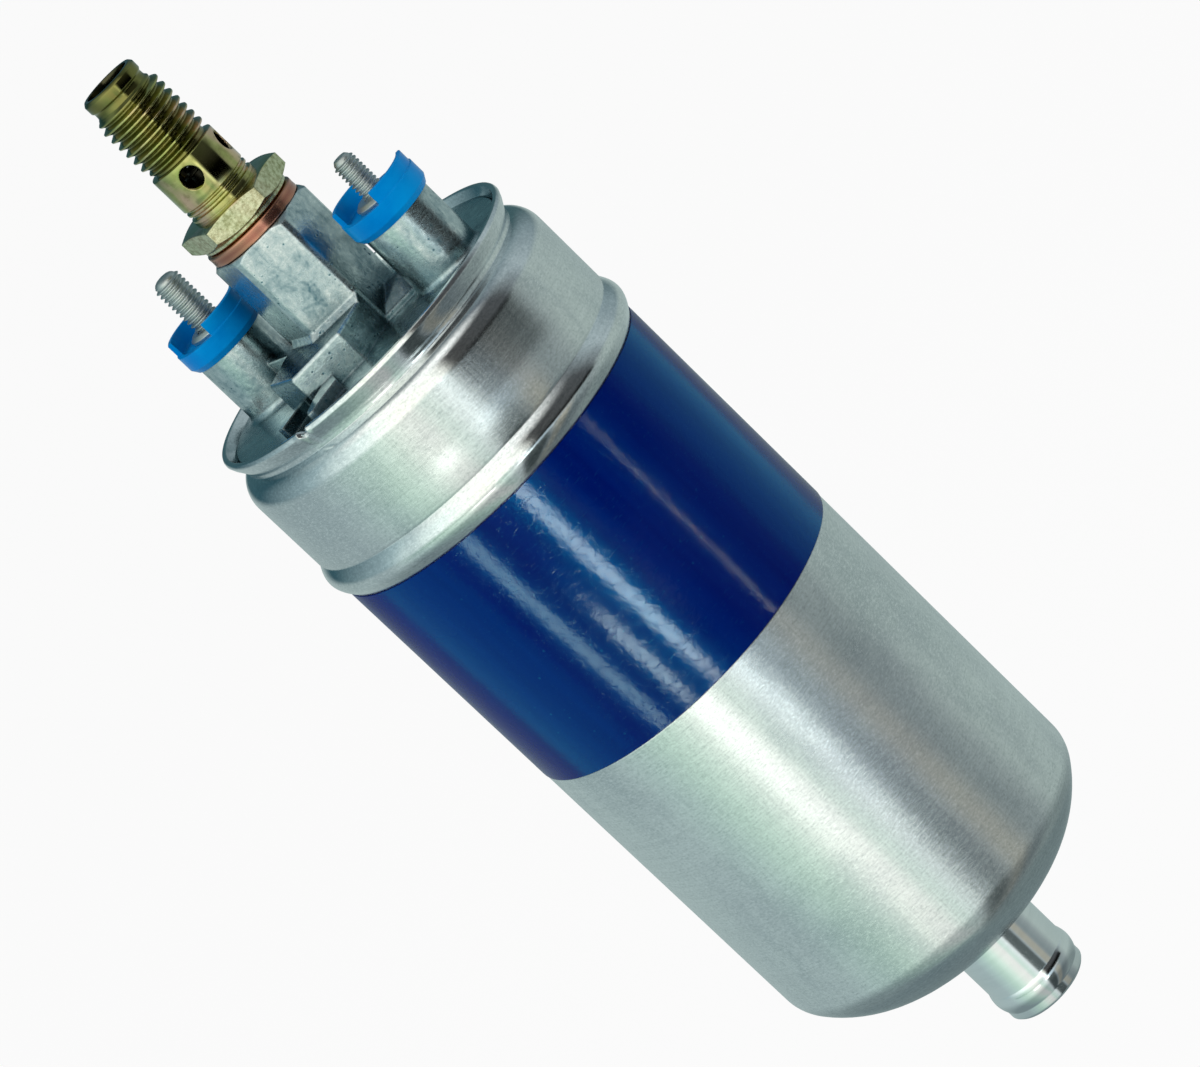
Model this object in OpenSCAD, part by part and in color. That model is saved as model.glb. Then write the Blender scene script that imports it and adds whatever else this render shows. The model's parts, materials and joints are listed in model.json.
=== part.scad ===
// Electric roller-cell fuel pump, built as it comes apart on a bench.
// +Z runs along the pump from the inlet to the outlet. The origin is the middle
// of the bare wall of the can, where a clamp grips it. All sizes in millimetres.

/* [Can] */
// Outside diameter of the can
can_d = 60; // [57:0.5:64]
// Sheet thickness of the can
can_wall = 1.3; // [1:0.1:1.5]
// Bare straight length between the base bend and the band
bare_len = 54.4; // [48:0.2:70]
// Radius of the bend that leads into the domed base
knuckle_r = 6; // [5:0.5:7]
// Radius of the domed base
dome_r = 19.5; // [18:0.5:22]
// Angle at which the bend meets the dome
knuckle_angle = 33; // [30:1:38]
// Length of the coloured band
band_len = 42.2; // [30:0.2:50]
// Thickness of the coloured band
band_t = 0.43; // [0.3:0.01:0.6]
// Depth of the seat that the band is sunk in
band_seat = 0.15; // [0.1:0.01:0.3]
// Width of the band's thinned lower edge
band_edge = 2; // [1.5:0.1:4]
// Width of the rolled bead above the band
bead_w = 5.8; // [4:0.2:8]
// Rise of the rolled bead
bead_rise = 1.25; // [0.6:0.05:1.6]
// Length of the collar above the bead
collar_len = 13.2; // [10:0.2:20]
// Height of the rounded shoulder
shoulder_h = 4.7; // [4:0.1:6]
// How far the rolled neck that locks the head is drawn in from the can's wall
neck_in = 2.5; // [2:0.1:3.5]
// Height of the flared lip above the neck
lip_h = 3.8; // [3:0.1:5]
// How far the flared lip stays inside the can's wall
lip_in = 1; // [0.5:0.1:1.5]
// Depth of the head's deck below the lip
deck_depth = 1.4; // [1:0.1:2]

/* [Inlet] */
// Outside diameter of the hose nipple
nipple_d = 15.2; // [14:0.1:16]
// Bore of the hose nipple
nipple_bore_d = 12; // [10:0.2:12.6]
// Length of the nipple below the can
nipple_len = 18.6; // [15:0.2:28]
// Diameter of the hose bead
hose_bead_d = 16.1; // [15.8:0.1:17]
// Length of the plain land beyond the hose bead
nipple_land = 1.9; // [1.4:0.1:4]

/* [Head] */
// Height of the hexagonal boss above the deck
boss_h = 22.4; // [20:0.2:30]
// Width of the boss across its flats
boss_af = 16.6; // [15:0.1:17.4]
// Direction that the boss's front flat faces
boss_turn = -100; // [-130:1:-70]
// Height of the terminal towers above the deck
tower_h = 12.8; // [10:0.2:18]
// Diameter of the terminal towers
tower_d = 12.3; // [11.6:0.1:12.6]
// Distance of each tower's axis from the edge of the lip
tower_in = 9.8; // [9.4:0.1:10.6]
// Direction of the smaller terminal
tower_turn = -36; // [-40:1:-32]
// Height of the block in front of the boss
block_h = 5.8; // [4:0.1:8]
// Distance of the locating lug's tip from the edge of the lip
lug_in = 2.5; // [2.3:0.1:4]
// Thickness of the head between its deck and its underside
plug_t = 11.3; // [10:0.1:14]
// Length of the skirt that presses on the motor
skirt_h = 14.5; // [13:0.1:18]

/* [Check valve] */
// Thickness of the copper washer
washer_t = 2; // [1:0.1:2.5]
// Outside diameter of the copper washer
washer_d = 17; // [16:0.1:18]
// Width of the valve's hexagon across its flats
hex_af = 17; // [16:0.1:19]
// Height of the valve's hexagon
hex_h = 3.6; // [3:0.1:6]
// Direction of one corner of the valve's hexagon
hex_turn = -67; // [-90:1:-30]
// Diameter of the smooth seat for the banjo eye
banjo_d = 12; // [11.6:0.1:13]
// Length of the smooth seat for the banjo eye
banjo_len = 6.5; // [6:0.1:12]
// Outside diameter of the outlet thread
thread_d = 11.8; // [11.2:0.1:11.9]
// Length of the outlet thread
thread_len = 11.6; // [8:0.2:16]
// Length of the plain nose
nose_len = 3.2; // [2.5:0.1:5]
// Diameter of the four radial ports
port_d = 3.45; // [2.5:0.05:4]
// Direction of the first radial port
port_turn = -104; // [-120:1:-90]
// Lift of the poppet
poppet_lift = 2.5; // [1:0.1:3]

/* [Terminals] */
// Diameter of the larger stud
stud_big_d = 4.84; // [4.6:0.02:5]
// Diameter of the smaller stud
stud_small_d = 3.84; // [3.6:0.02:4]
// Height of the larger stud above the deck
stud_big_h = 25.5; // [22:0.1:32]
// Height of the smaller stud above the deck
stud_small_h = 22.8; // [20:0.1:28]
// Diameter of the disc at each stud's foot
foot_d = 8.1; // [7.4:0.1:9]
// Thickness of the disc at each stud's foot
foot_t = 1.1; // [0.8:0.1:1.6]
// Outside diameter of the terminal caps
cap_d = 14.26; // [13.8:0.02:15]
// Height of a cap's low wall above the tower
cap_low = 2.3; // [2:0.1:3.5]
// Height of a cap's high wall above its low wall
cap_high = 2.3; // [1.5:0.1:4]

/* [Pump] */
// Bore of the cam ring
cam_d = 36.2; // [35:0.2:37]
// Distance of the cam bore from the shaft's axis
cam_offset = 1.5; // [1.2:0.1:1.6]
// Thickness of the cam ring
cam_t = 10; // [8:0.5:12]
// Diameter of the rollers
roller_d = 7; // [6.6:0.1:7.2]
// Thickness of the end plate
end_plate_t = 6; // [5.5:0.1:8]
// Thickness of the base plate
base_plate_t = 8; // [7:0.1:10]
// Travel of the relief ball
relief_lift = 1.2; // [0.6:0.1:1.5]

/* [Motor] */
// Diameter of the armature shaft
shaft_d = 8; // [7:0.1:8.4]
// Wall of the steel flux ring
flux_wall = 2.05; // [1.5:0.05:2.5]
// Radial thickness of the magnets
magnet_t = 4.75; // [4:0.05:5.5]
// Length of the magnets
magnet_len = 50; // [40:1:54]
// Gap between the armature and the magnets
air_gap = 0.7; // [0.5:0.05:1]
// Length of the laminated core
core_len = 36; // [28:1:38]
// Number of armature slots and commutator bars
slot_n = 10; // [8:1:12]
// How far the commutator reaches beyond the brushes
comm_rim = 1.1; // [0.5:0.1:1.5]
// Distance of each brush from its terminal's axis, towards the shaft
brush_in = 6.2; // [5.8:0.1:6.6]
// Radial thickness of a brush
brush_t = 5; // [4:0.1:5.4]
// Width of a brush
brush_w = 6.5; // [5:0.1:7]
// Length of a new brush
brush_len = 11; // [8:0.1:12]
// Travel of a brush back into its tube
brush_travel = 2.5; // [1:0.1:3]
// Width of the strip from each stud to its brush spring
contact_w = 6; // [4:0.2:7]
// Diameter of the insulators' collars inside the head
collar_d = 10; // [9:0.2:11]

/* [Hidden] */
$fn = 96;

// Clearances
seat = 0.05;        // between pieces that are seated in each other
run = 0.04;         // radial, between the shaft and its bushes
play = 0.1;         // between the flat faces of moving pieces

// Can, radii and heights
can_r = can_d / 2;
in_r = can_r - can_wall;
neck_r = can_r - neck_in;
lip_r = can_r - lip_in;
collar_r = can_r + 0.25;
z_knuckle = -bare_len / 2;
z_band0 = bare_len / 2;
z_band1 = z_band0 + band_len;
z_bead0 = z_band1 + 0.1;
z_bead1 = z_bead0 + bead_w;
z_shoulder = z_bead1 + collar_len;
z_neck = z_shoulder + shoulder_h;
z_lip = z_neck + lip_h;
z_deck = z_lip - deck_depth;
knuckle_cr = can_r - knuckle_r;
dome_cr = knuckle_cr - (dome_r - knuckle_r) * cos(knuckle_angle);
dome_cz = z_knuckle + (dome_r - knuckle_r) * sin(knuckle_angle);
z_base = dome_cz - dome_r;
z_floor = z_base + can_wall;
band_groove_r = can_r - band_seat;
band_r = band_groove_r + 0.02 + band_t;

// Head
tower_r = lip_r - tower_in;
z_boss = z_deck + boss_h;
z_tower = z_deck + tower_h;
z_plug = z_deck - plug_t;
z_skirt = z_plug - skirt_h;
head_r = in_r - 0.1;
oring_w = 3.3;
z_oring = z_plug + 0.4;
oring_r = (in_r - 2.3 + in_r) / 2;
oring_section = (in_r - 0.02 - (in_r - 2.3 + 0.02)) / 2;
skirt_in_r = head_r - 3.6;
big_turn = tower_turn + 180;
boss_r = boss_af / 2;
boss_corner = boss_r / cos(30);
// front right corner of the boss, and the outline of the block before it
corner = boss_corner * [cos(boss_turn + 30), sin(boss_turn + 30)];
block_front = -boss_r - 6.6;
block_left = -boss_r - 7.5;
block = [[-3, block_front], corner + [0.1, 0.4], [1, -2], [-8, 0], [-boss_r - 3.1, -1],
  [block_left, -7], [block_left + 3.1, block_front]];
block_mid = [-6.5, -7.5];
// outline of the locating lug, drawn out or in with the lip
lug_tip = [-14.5, block_front - 7.3];
lug_k = (lip_r - lug_in) / norm(lug_tip);
lug = [for (p = [[-8, 0.5], [-8, -3.9], [-11.4, -5.7], [-13.6, -7.3], [-14.5, -7.3], [-14.3, -5.5],
  [-12.6, -2.7], [-10.4, -0.4], [-9.4, 0.5]]) lug_k * (p + [0, block_front])];

// Check valve
shank_r = 5;
shank_len = 16;
z_valve = z_boss + washer_t;
hex_foot = 0.9;
z_hex = z_valve + hex_foot;
z_hex1 = z_hex + hex_h;
z_banjo = z_hex1 + 2.7;
z_thread = z_banjo + banjo_len + 0.4;
z_nose = z_thread + thread_len;
z_top = z_nose + nose_len;
banjo_r = banjo_d / 2;
thread_r = thread_d / 2;
nose_r = thread_r - 0.93;
chamber_r = 3.6;
inlet_bore_r = 2.2;
z_seat = z_valve + 1.9;
z_seat1 = z_seat + chamber_r - inlet_bore_r;
z_port = z_banjo + 3.8;
z_poppet = z_seat1 + 4.7;
poppet_stem = 3.4;
z_poppet_stop = z_poppet + poppet_stem + poppet_lift + play / 2;
plug_seat_z = z_top - 4;
plug_r = chamber_r + 0.3;

// Pump stack, from the can's base bend upwards
seat_angle = 15;
z_plate = z_knuckle - (knuckle_r - can_wall) * sin(seat_angle);
plate_r = knuckle_cr + (knuckle_r - can_wall) * cos(seat_angle) - 0.1;
z_cam = z_plate + end_plate_t;
z_cam1 = z_cam + cam_t;
z_flux = z_cam1 + base_plate_t;
cam_r = cam_d / 2;
roller_r = roller_d / 2;
rotor_r = cam_r - cam_offset - 0.1;
roller_path = cam_r - cam_offset - roller_r - 0.05;
screw_n = 5;
screw_path = (cam_r + cam_offset + plate_r) / 2;
bush_r = 7;
shaft_r = shaft_d / 2;
flat_half = shaft_r - 1;
relief_turn = 90;
relief_path = 13.5;
relief_ball_r = 2.3;
relief_port_r = 1.5;
relief_bore_r = relief_ball_r + 0.4;
cage_r = relief_bore_r + 1.5;
z_relief = z_plate + end_plate_t - 2.8;
z_ball = z_relief - sqrt(pow(relief_ball_r, 2) - pow(relief_port_r, 2)) - 0.03;
z_cage = z_plate - 8;
z_ball_stop = z_ball - relief_ball_r - relief_lift - play / 2;
nipple_r = nipple_d / 2;
nipple_bore = nipple_bore_d / 2;
z_tip = z_base - nipple_len;
flange_t = 1.2;
z_flange1 = z_floor + 0.03 + flange_t;

// Motor
holder_t = 3.8;
z_holder = z_skirt - holder_t;
flux_r = plate_r;
magnet_out = flux_r - flux_wall - seat;
magnet_in = magnet_out - magnet_t;
core_r = magnet_in - air_gap;
comm_t = 1.8;
z_face = z_holder - 2.2;
hub_t = 6;
z_comm_back = z_face - comm_t - hub_t;
z_mid = (z_flux + z_comm_back) / 2;
z_core = z_mid - core_len / 2;
z_core1 = z_mid + core_len / 2;
contact_t = 0.7;
collar_t = 0.75;
z_contact = z_plug - collar_t - contact_t - 0.08;
z_rivet = z_contact - 1.12;
coil_h = 7.5;
brush_r = tower_r - brush_in;
comm_in = brush_r - brush_t / 2 - 1.2;
comm_r = brush_r + brush_t / 2 + comm_rim;
way_r = 2.4;
way_path = head_r - way_r - 5.2;
z_tube = z_rivet - 0.1;
z_bush = z_holder + 5.3;
z_bush1 = z_tube - 1.8;
z_shaft = z_bush1 + 0.6;
z_brush = z_face + 0.03;
z_brush1 = z_brush + brush_len;
z_brush_stop = z_brush1 + brush_travel + play / 2;
cap_r = cap_d / 2;
cap_floor = 1.7;
z_cap_floor = z_tower + cap_floor;
z_cap_low = z_tower + cap_low;
z_cap_high = z_cap_low + cap_high;
z_foot = z_cap_floor + foot_t;
insulator_r = 3.7;

// Points of an arc in the plane of a revolved profile
function arc(cr, cz, r, a0, a1, n = 10) =
  [for (i = [0:n]) let (a = a0 + (a1 - a0) * i / n) [cr + r * cos(a), cz + r * sin(a)]];

function flip(v) = [for (i = [len(v) - 1:-1:0]) v[i]];

// Shoulder of the can: a rounded crest that runs in to the neck, pulled in by w
function shoulder(w) =
  [for (i = [0:8]) let (a = 76 * i / 8)
    [neck_r + (collar_r - neck_r) * (cos(a) - cos(76)) / (1 - cos(76)) - w,
     z_shoulder + (shoulder_h - 0.5) * sin(a) / sin(76)]];

// Neck and flared lip, pulled in by w
function flare(w) = [[neck_r - w, z_neck], [neck_r + 0.12 - w, z_neck + 0.45]];

// Bead, pulled in by w
function bead(w) =
  [for (i = [0:10]) let (t = i / 10)
    [can_r + bead_rise * sin(180 * t) + 0.05 * t - w, z_bead0 + bead_w * t]];

// Revolves a list of [radius, height] points about Z
module turned(points) { rotate_extrude() polygon(points); }

module ring(r_out, r_in, z0, z1) {
  turned([[r_in, z0], [r_out, z0], [r_out, z1], [r_in, z1]]);
}

// A rod whose ends are chamfered by c
module rod(r, z0, z1, c = 0) {
  if (c > 0)
    turned([[0, z0], [r - c, z0], [r, z0 + c], [r, z1 - c], [r - c, z1], [0, z1]]);
  else
    translate([0, 0, z0]) cylinder(r = r, h = z1 - z0);
}

// Upright block between two heights from a flat outline
module slab(points, z0, z1) {
  translate([0, 0, z0]) linear_extrude(z1 - z0) polygon(points);
}

// Sector of a flat ring, a0 to a1 degrees
module sector(r_out, r_in, a0, a1) {
  far = r_out * 3;
  mid = (a0 + a1) / 2;
  intersection() {
    difference() { circle(r = r_out); circle(r = r_in); }
    polygon([[0, 0], [far * cos(a0), far * sin(a0)], [far * cos(mid), far * sin(mid)],
      [far * cos(a1), far * sin(a1)]]);
  }
}

// Kidney-shaped port round the axis, w wide on a path of radius r
module kidney(r, w, a0, a1) {
  sector(r + w / 2, r - w / 2, a0, a1);
  for (a = [a0, a1]) rotate(a) translate([r, 0]) circle(r = w / 2 - 0.4);
}

// Helical spring of round wire, standing on z0 and reaching z1
module coil_spring(mean_r, wire_r, turns, z0, z1) {
  steps = 14;
  sides = 6;
  n = floor(turns * steps);
  rise = z1 - z0 - 2 * wire_r;
  // dead end turns lie almost flat and the pitch opens between them
  ease = function(t) t < 0.12 ? t * t / 0.24 * (1 / 0.88)
    : t > 0.88 ? 1 - (1 - t) * (1 - t) / 0.24 * (1 / 0.88)
    : (t - 0.06) / 0.88;
  points = [for (i = [0:n]) let (t = i / n, a = 360 * turns * t)
    for (j = [0:sides - 1]) let (b = 360 * j / sides, r = mean_r + wire_r * cos(b))
      [r * cos(a), r * sin(a), z0 + wire_r + rise * ease(t) + wire_r * sin(b)]];
  sides_faces = [for (i = [0:n - 1], j = [0:sides - 1]) let (k = (j + 1) % sides)
    each [[i * sides + j, i * sides + k, (i + 1) * sides + k],
          [i * sides + j, (i + 1) * sides + k, (i + 1) * sides + j]]];
  first = [for (j = [1:sides - 2]) [0, j + 1, j]];
  last = [for (j = [1:sides - 2]) [n * sides, n * sides + j, n * sides + j + 1]];
  polyhedron(points, [for (f = concat(sides_faces, first, last)) [f[2], f[1], f[0]]]);
}

// Puts its children on one of the two terminal axes
module at_terminal(turn) { rotate(turn) translate([tower_r, 0, 0]) children(); }

// Can and inlet

module can() {
  outer = concat([[nipple_r + seat, z_base]],
    arc(dome_cr, dome_cz, dome_r, -90, -knuckle_angle, 12),
    [for (i = [1:6]) arc(knuckle_cr, z_knuckle, knuckle_r, -knuckle_angle, 0, 6)[i]],
    [[can_r, z_band0], [band_groove_r, z_band0 + band_edge], [band_groove_r, z_band1], [can_r, z_band1]],
    bead(0), shoulder(0), flare(0), [[lip_r, z_lip - 0.7], [lip_r - 0.05, z_lip - 0.3],
    [lip_r - 0.35, z_lip]]);
  inner = concat([[nipple_r + seat, z_floor]],
    arc(dome_cr, dome_cz, dome_r - can_wall, -90, -knuckle_angle, 12),
    [for (i = [1:6]) arc(knuckle_cr, z_knuckle, knuckle_r - can_wall, -knuckle_angle, 0, 6)[i]],
    [[in_r, z_band1]], bead(can_wall), shoulder(can_wall), flare(can_wall),
    [[lip_r - can_wall + 0.1, z_lip - 0.7], [lip_r - 0.8, z_lip]]);
  color("silver") difference() {
    turned(concat(outer, flip(inner)));
    // small notch that the crimping tool leaves in the lip
    rotate(-126) translate([lip_r, 0, z_lip]) rotate([0, 90, 0])
      cylinder(r = 0.9, h = 4, center = true, $fn = 24);
  }
}

module band_sleeve() {
  // the film thins out to its lower edge, where its seat runs out to the bare wall
  color("navy") turned([[can_r + 0.02, z_band0], [can_r + 0.08, z_band0], [band_r, z_band0 + band_edge],
    [band_r, z_band1 - seat], [band_groove_r + 0.02, z_band1 - seat], [band_groove_r + 0.02, z_band0 + band_edge]]);
}

module inlet_nipple() {
  bead_half = 1.95;
  z_bead = z_tip + nipple_land + bead_half;
  bead_r = hose_bead_d / 2;
  color("gainsboro") turned(concat(
    [[nipple_bore, z_flange1], [nipple_bore, z_tip + 0.4], [nipple_bore + 0.4, z_tip],
     [nipple_r - 0.7, z_tip], [nipple_r - 0.25, z_tip + 0.2], [nipple_r - 0.1, z_tip + 0.6],
     [nipple_r - 0.1, z_bead - bead_half]],
    [for (i = [1:7]) let (t = i / 8)
      [nipple_r + (bead_r - nipple_r) * sin(180 * t) - 0.1 * (1 - t), z_bead + bead_half * (2 * t - 1)]],
    [[nipple_r, z_bead + bead_half], [nipple_r, z_floor + 0.03],
     [nipple_r + 1.3, z_floor + 0.03], [nipple_r + 1.3, z_flange1]]));
}

// Gauze dish that lies over the nipple's inner end
module inlet_strainer() {
  z0 = z_flange1 + 0.03;
  color("darkgoldenrod") turned([[0, z0 + 0.5], [nipple_bore - 0.6, z0 + 0.5], [nipple_bore, z0],
    [nipple_r + 1, z0], [nipple_r + 1, z0 + 0.9], [nipple_r + 0.6, z0 + 0.9],
    [nipple_r + 0.6, z0 + 0.4], [nipple_bore + 0.2, z0 + 0.4], [nipple_bore - 0.4, z0 + 0.9],
    [0, z0 + 0.9]]);
}

// Head

module hex_prism(af, z0, z1, turn) {
  rotate(turn) translate([0, 0, z0]) cylinder(r = af / 2 / cos(30), h = z1 - z0, $fn = 6);
}

module tower(turn) {
  at_terminal(turn) {
    rod(tower_d / 2, z_plug + 1, z_tower, 0);
    // cast fillet at the tower's foot
    turned(concat([[0, z_deck - 1], [tower_d / 2 + 1.1, z_deck - 1]],
      flip(arc(tower_d / 2 + 1.1, z_deck + 1.1, 1.1, 180, 270, 6)), [[0, z_deck + 1.1]]));
  }
}

module head_shell() {
  turned(concat(
    [[skirt_in_r, z_skirt], [head_r, z_skirt], [head_r, z_oring], [in_r - 2.3, z_oring],
     [in_r - 2.3, z_oring + oring_w], [head_r, z_oring + oring_w], [head_r, z_shoulder - 0.3]],
    [for (p = shoulder(can_wall + 0.12)) if (p[0] < head_r - 0.05) [p[0], p[1] - 0.1]],
    [[neck_r - can_wall - 0.12, z_neck + 0.1], [lip_r - can_wall - 0.55, z_deck - 0.3],
     [lip_r - can_wall - 0.75, z_deck], [0, z_deck], [0, z_plug], [skirt_in_r, z_plug]]));
  for (t = [tower_turn, big_turn]) tower(t);
  // boss, its corners rounded by the casting
  intersection() {
    hex_prism(boss_af, z_deck - 1, z_boss, boss_turn + 30);
    turned([[0, z_deck - 1], [boss_corner - 0.3, z_deck - 1], [boss_corner - 0.3, z_boss - 0.7],
      [boss_corner - 1, z_boss], [0, z_boss]]);
  }
  // fillet where the boss stands on the block
  intersection() {
    hull() {
      hex_prism(boss_af + 1.6, z_deck - 0.5, z_deck + block_h + 0.05, boss_turn + 30);
      hex_prism(boss_af - 0.2, z_deck - 0.5, z_deck + block_h + 1.1, boss_turn + 30);
    }
    slab(block, z_deck, z_deck + block_h + 2);
  }
  slab(block, z_deck - 0.5, z_deck + block_h - 0.8);
  hull() {
    slab(block, z_deck + block_h - 1.2, z_deck + block_h - 0.4);
    slab([for (p = block) block_mid + 0.965 * (p - block_mid)],
      z_deck + block_h - 1.2, z_deck + block_h);
  }
  // locating lug, reaching from the block towards the lip
  slab(lug, z_deck - 0.5, z_deck + 2);
  // low rib that runs from the block out to the lip
  slab([[block_left + 3.2, -12.4], lug_k * [-18.6, -16.5], lug_k * [-19.3, -15.6], [block_left + 2.6, -11.4]],
    z_deck - 0.5, z_deck + 2.1);
  // thin web between the larger tower and the block
  web = tower_r * [cos(big_turn), sin(big_turn)] + [1.3, -4.9];
  slab([[-boss_r - 2.3, -1.6], web, web + [0.8, 0.4], [-boss_r - 1.5, -1]], z_deck - 0.5, z_deck + block_h);
  // triangular gusset between the boss and the smaller tower
  hull() {
    slab([[2.4, -8.3], [9.6, -8.3], [9.6, -4], [6, -4]], z_deck - 0.5, z_deck + 0.9);
    slab([[6.6, -4.6], [9.8, -5.4], [9.8, -4], [6.4, -3.4]], z_deck - 0.5, z_deck + 3.5);
  }
  // low step that joins the block and the gusset
  slab([[-4, -14.2], [-2.8, -14.9], [3, -8.6], [10, -8.6], [8, -4], [-2, -6]], z_deck - 0.5, z_deck + 0.9);
}

module head() {
  color("slategray") difference() {
    head_shell();
    // outlet bore, opened out for the valve's shank
    rod(4.2, z_plug - 1, z_deck + 12);
    rod(shank_r + seat, z_valve - washer_t - shank_len, z_boss + 1);
    for (t = [tower_turn, big_turn])
      at_terminal(t) rod(insulator_r + seat, z_plug - 1, z_tower + 1);
  }
}

module head_oring() {
  color("black") turned(arc(oring_r, z_oring + oring_w / 2, oring_section, 0, 345, 23));
}

// Check valve

module copper_washer() {
  r = washer_d / 2;
  color("peru") turned([[shank_r + 0.3, z_boss], [r - 0.2, z_boss], [r, z_boss + 0.3],
    [r, z_valve - 0.3], [r - 0.2, z_valve], [shank_r + 0.3, z_valve]]);
}

module valve_body() {
  hex_corner = hex_af / 2 / cos(30);
  color("darkkhaki") difference() {
    union() {
      turned([[0, z_valve - shank_len + 0.2], [shank_r - 0.8, z_valve - shank_len + 0.2],
        [shank_r, z_valve - shank_len + 1], [shank_r, z_valve], [hex_af / 2 - 0.7, z_valve],
        [hex_af / 2 - 0.3, z_valve + 0.4], [hex_af / 2 - 0.3, z_hex + 0.2], [0, z_hex + 0.2]]);
      // hexagon with its corners chamfered above and below
      intersection() {
        hex_prism(hex_af, z_hex, z_hex1, hex_turn);
        turned([[0, z_hex], [hex_af / 2 - 0.2, z_hex], [hex_corner - 0.2, z_hex + 0.9],
          [hex_corner - 0.2, z_hex1 - 0.5], [hex_af / 2, z_hex1], [0, z_hex1]]);
      }
      turned([[0, z_hex1 - 0.2], [banjo_r + 0.06, z_hex1 - 0.2], [banjo_r + 0.06, z_hex1 + 1.1],
        [banjo_r - 0.5, z_hex1 + 1.5], [banjo_r - 0.5, z_banjo - 0.4], [banjo_r, z_banjo],
        [banjo_r, z_banjo + banjo_len], [thread_r - 0.7, z_thread - 0.1],
        [thread_r, z_thread + 0.6], [thread_r, z_nose - 0.9], [nose_r, z_nose],
        [nose_r - 0.12, z_nose + 0.9], [nose_r - 0.1, z_nose + 1.4], [nose_r, z_top - 0.9],
        [nose_r, z_top - 0.3], [nose_r - 0.3, z_top], [0, z_top]]);
    }
    // way through: inlet bore, conical seat, spring chamber, plug seat
    turned([[0, z_valve - shank_len - 1], [inlet_bore_r, z_valve - shank_len - 1],
      [inlet_bore_r, z_seat], [chamber_r, z_seat1], [chamber_r, plug_seat_z],
      [plug_r, plug_seat_z], [plug_r, z_top + 1], [0, z_top + 1]]);
    for (i = [0:3]) rotate(port_turn + 90 * i) translate([0, 0, z_port]) rotate([0, 90, 0])
      cylinder(d = port_d, h = banjo_d, $fn = 48);
  }
}

// Plug pressed into the nose; its pin stops the poppet
module valve_plug() {
  color("darkkhaki") turned([[0, z_poppet_stop], [1.2, z_poppet_stop], [1.5, z_poppet_stop + 0.3],
    [1.5, plug_seat_z + 0.03], [plug_r - seat, plug_seat_z + 0.03],
    [plug_r - seat, z_top - 1.5], [plug_r - 0.4, z_top - 1.1], [1.6, z_top - 1.1],
    [1.2, z_top - 1.6], [0, z_top - 1.6]]);
}

module valve_poppet() {
  gap = 0.08;
  foot = z_seat - 0.4;
  color("darkgray") {
    turned([[0, foot], [inlet_bore_r - 0.4 - gap, foot], [chamber_r - 0.55 - gap, z_seat1 - 0.55],
      [2.5, z_seat1 - 0.53], [2.5, z_seat1 + 0.22], [2.7, z_seat1 + 0.25], [2.7, z_poppet],
      [1.6, z_poppet], [1.6, z_poppet + poppet_stem - 0.4], [1.2, z_poppet + poppet_stem],
      [0, z_poppet + poppet_stem]]);
    // four guide fins
    intersection() {
      rod(chamber_r - 0.08, z_seat1 + 0.25, z_poppet);
      for (a = [0, 90]) rotate(port_turn + 45 + a)
        translate([-4, -0.6, z_seat1 + 0.25]) cube([8, 1.2, z_poppet - z_seat1 - 0.25]);
    }
  }
}

module poppet_seal() {
  color("black") turned(arc(2.9, z_seat1 - 0.15, 0.36, 0, 330, 11));
}

module valve_spring() {
  color("gray") coil_spring(2.5, 0.3, 9, z_poppet + 0.02, plug_seat_z + 0.01);
}

// Terminals

// Stud with a riveted head inside; its shank is thinner than its rolled thread
module stud(turn, d, h) {
  r = d / 2;
  z1 = z_deck + h;
  at_terminal(turn) turned([[0, z_rivet], [3.1, z_rivet], [3.4, z_rivet + 0.3],
    [3.4, z_contact - 0.04], [r - 0.2, z_contact - 0.04], [r - 0.2, z_foot], [r, z_foot + 0.2],
    [r, z1 - 1.3], [r - 0.45, z1 - 0.7], [r - 0.7, z1 - 0.2], [r - 1.1, z1], [0, z1]]);
}

module stud_m5() { color("lightgray") stud(big_turn, stud_big_d, stud_big_h); }
module stud_m4() { color("lightgray") stud(tower_turn, stud_small_d, stud_small_h); }

// Chamfered disc that the stud is drawn down on
module foot_disc(turn, d) {
  at_terminal(turn) turned([[d / 2 + seat, z_cap_floor + 0.02], [foot_d / 2 - 0.2, z_cap_floor + 0.02],
    [foot_d / 2, z_cap_floor + 0.2], [foot_d / 2, z_cap_floor + foot_t - 0.35],
    [foot_d / 2 - 0.6, z_cap_floor + foot_t], [d / 2 + seat, z_cap_floor + foot_t]]);
}

module washer_m5() { color("lightgray") foot_disc(big_turn, stud_big_d); }
module washer_m4() { color("lightgray") foot_disc(tower_turn, stud_small_d); }

// Castellated cap: two walls stand up and two gaps let a cable lug in
module cap(turn) {
  wall_in = cap_r - 1;
  color("dodgerblue") at_terminal(turn) difference() {
    turned([[insulator_r + seat, z_tower + seat], [tower_d / 2 + seat, z_tower + seat],
      [tower_d / 2 + seat, z_tower - 1.4], [cap_r - 0.6, z_tower - 1.4], [cap_r, z_tower - 0.4],
      [cap_r, z_cap_low], [cap_r - 0.18, z_cap_low + 0.1], [cap_r - 0.18, z_cap_high - 0.15],
      [cap_r - 0.33, z_cap_high], [wall_in + 0.1, z_cap_high], [wall_in, z_cap_low - 0.3],
      [wall_in - 0.1, z_cap_floor], [insulator_r + seat, z_cap_floor]]);
    for (a = [0, 180]) rotate(a - turn - 4)
      translate([0, 0, z_cap_low]) linear_extrude(cap_high + 1)
        polygon([[0, 0], [12, 0], [12, 12], [0.8, 12]]);
  }
}

module cap_m5() { cap(big_turn); }
module cap_m4() { cap(tower_turn); }

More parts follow.
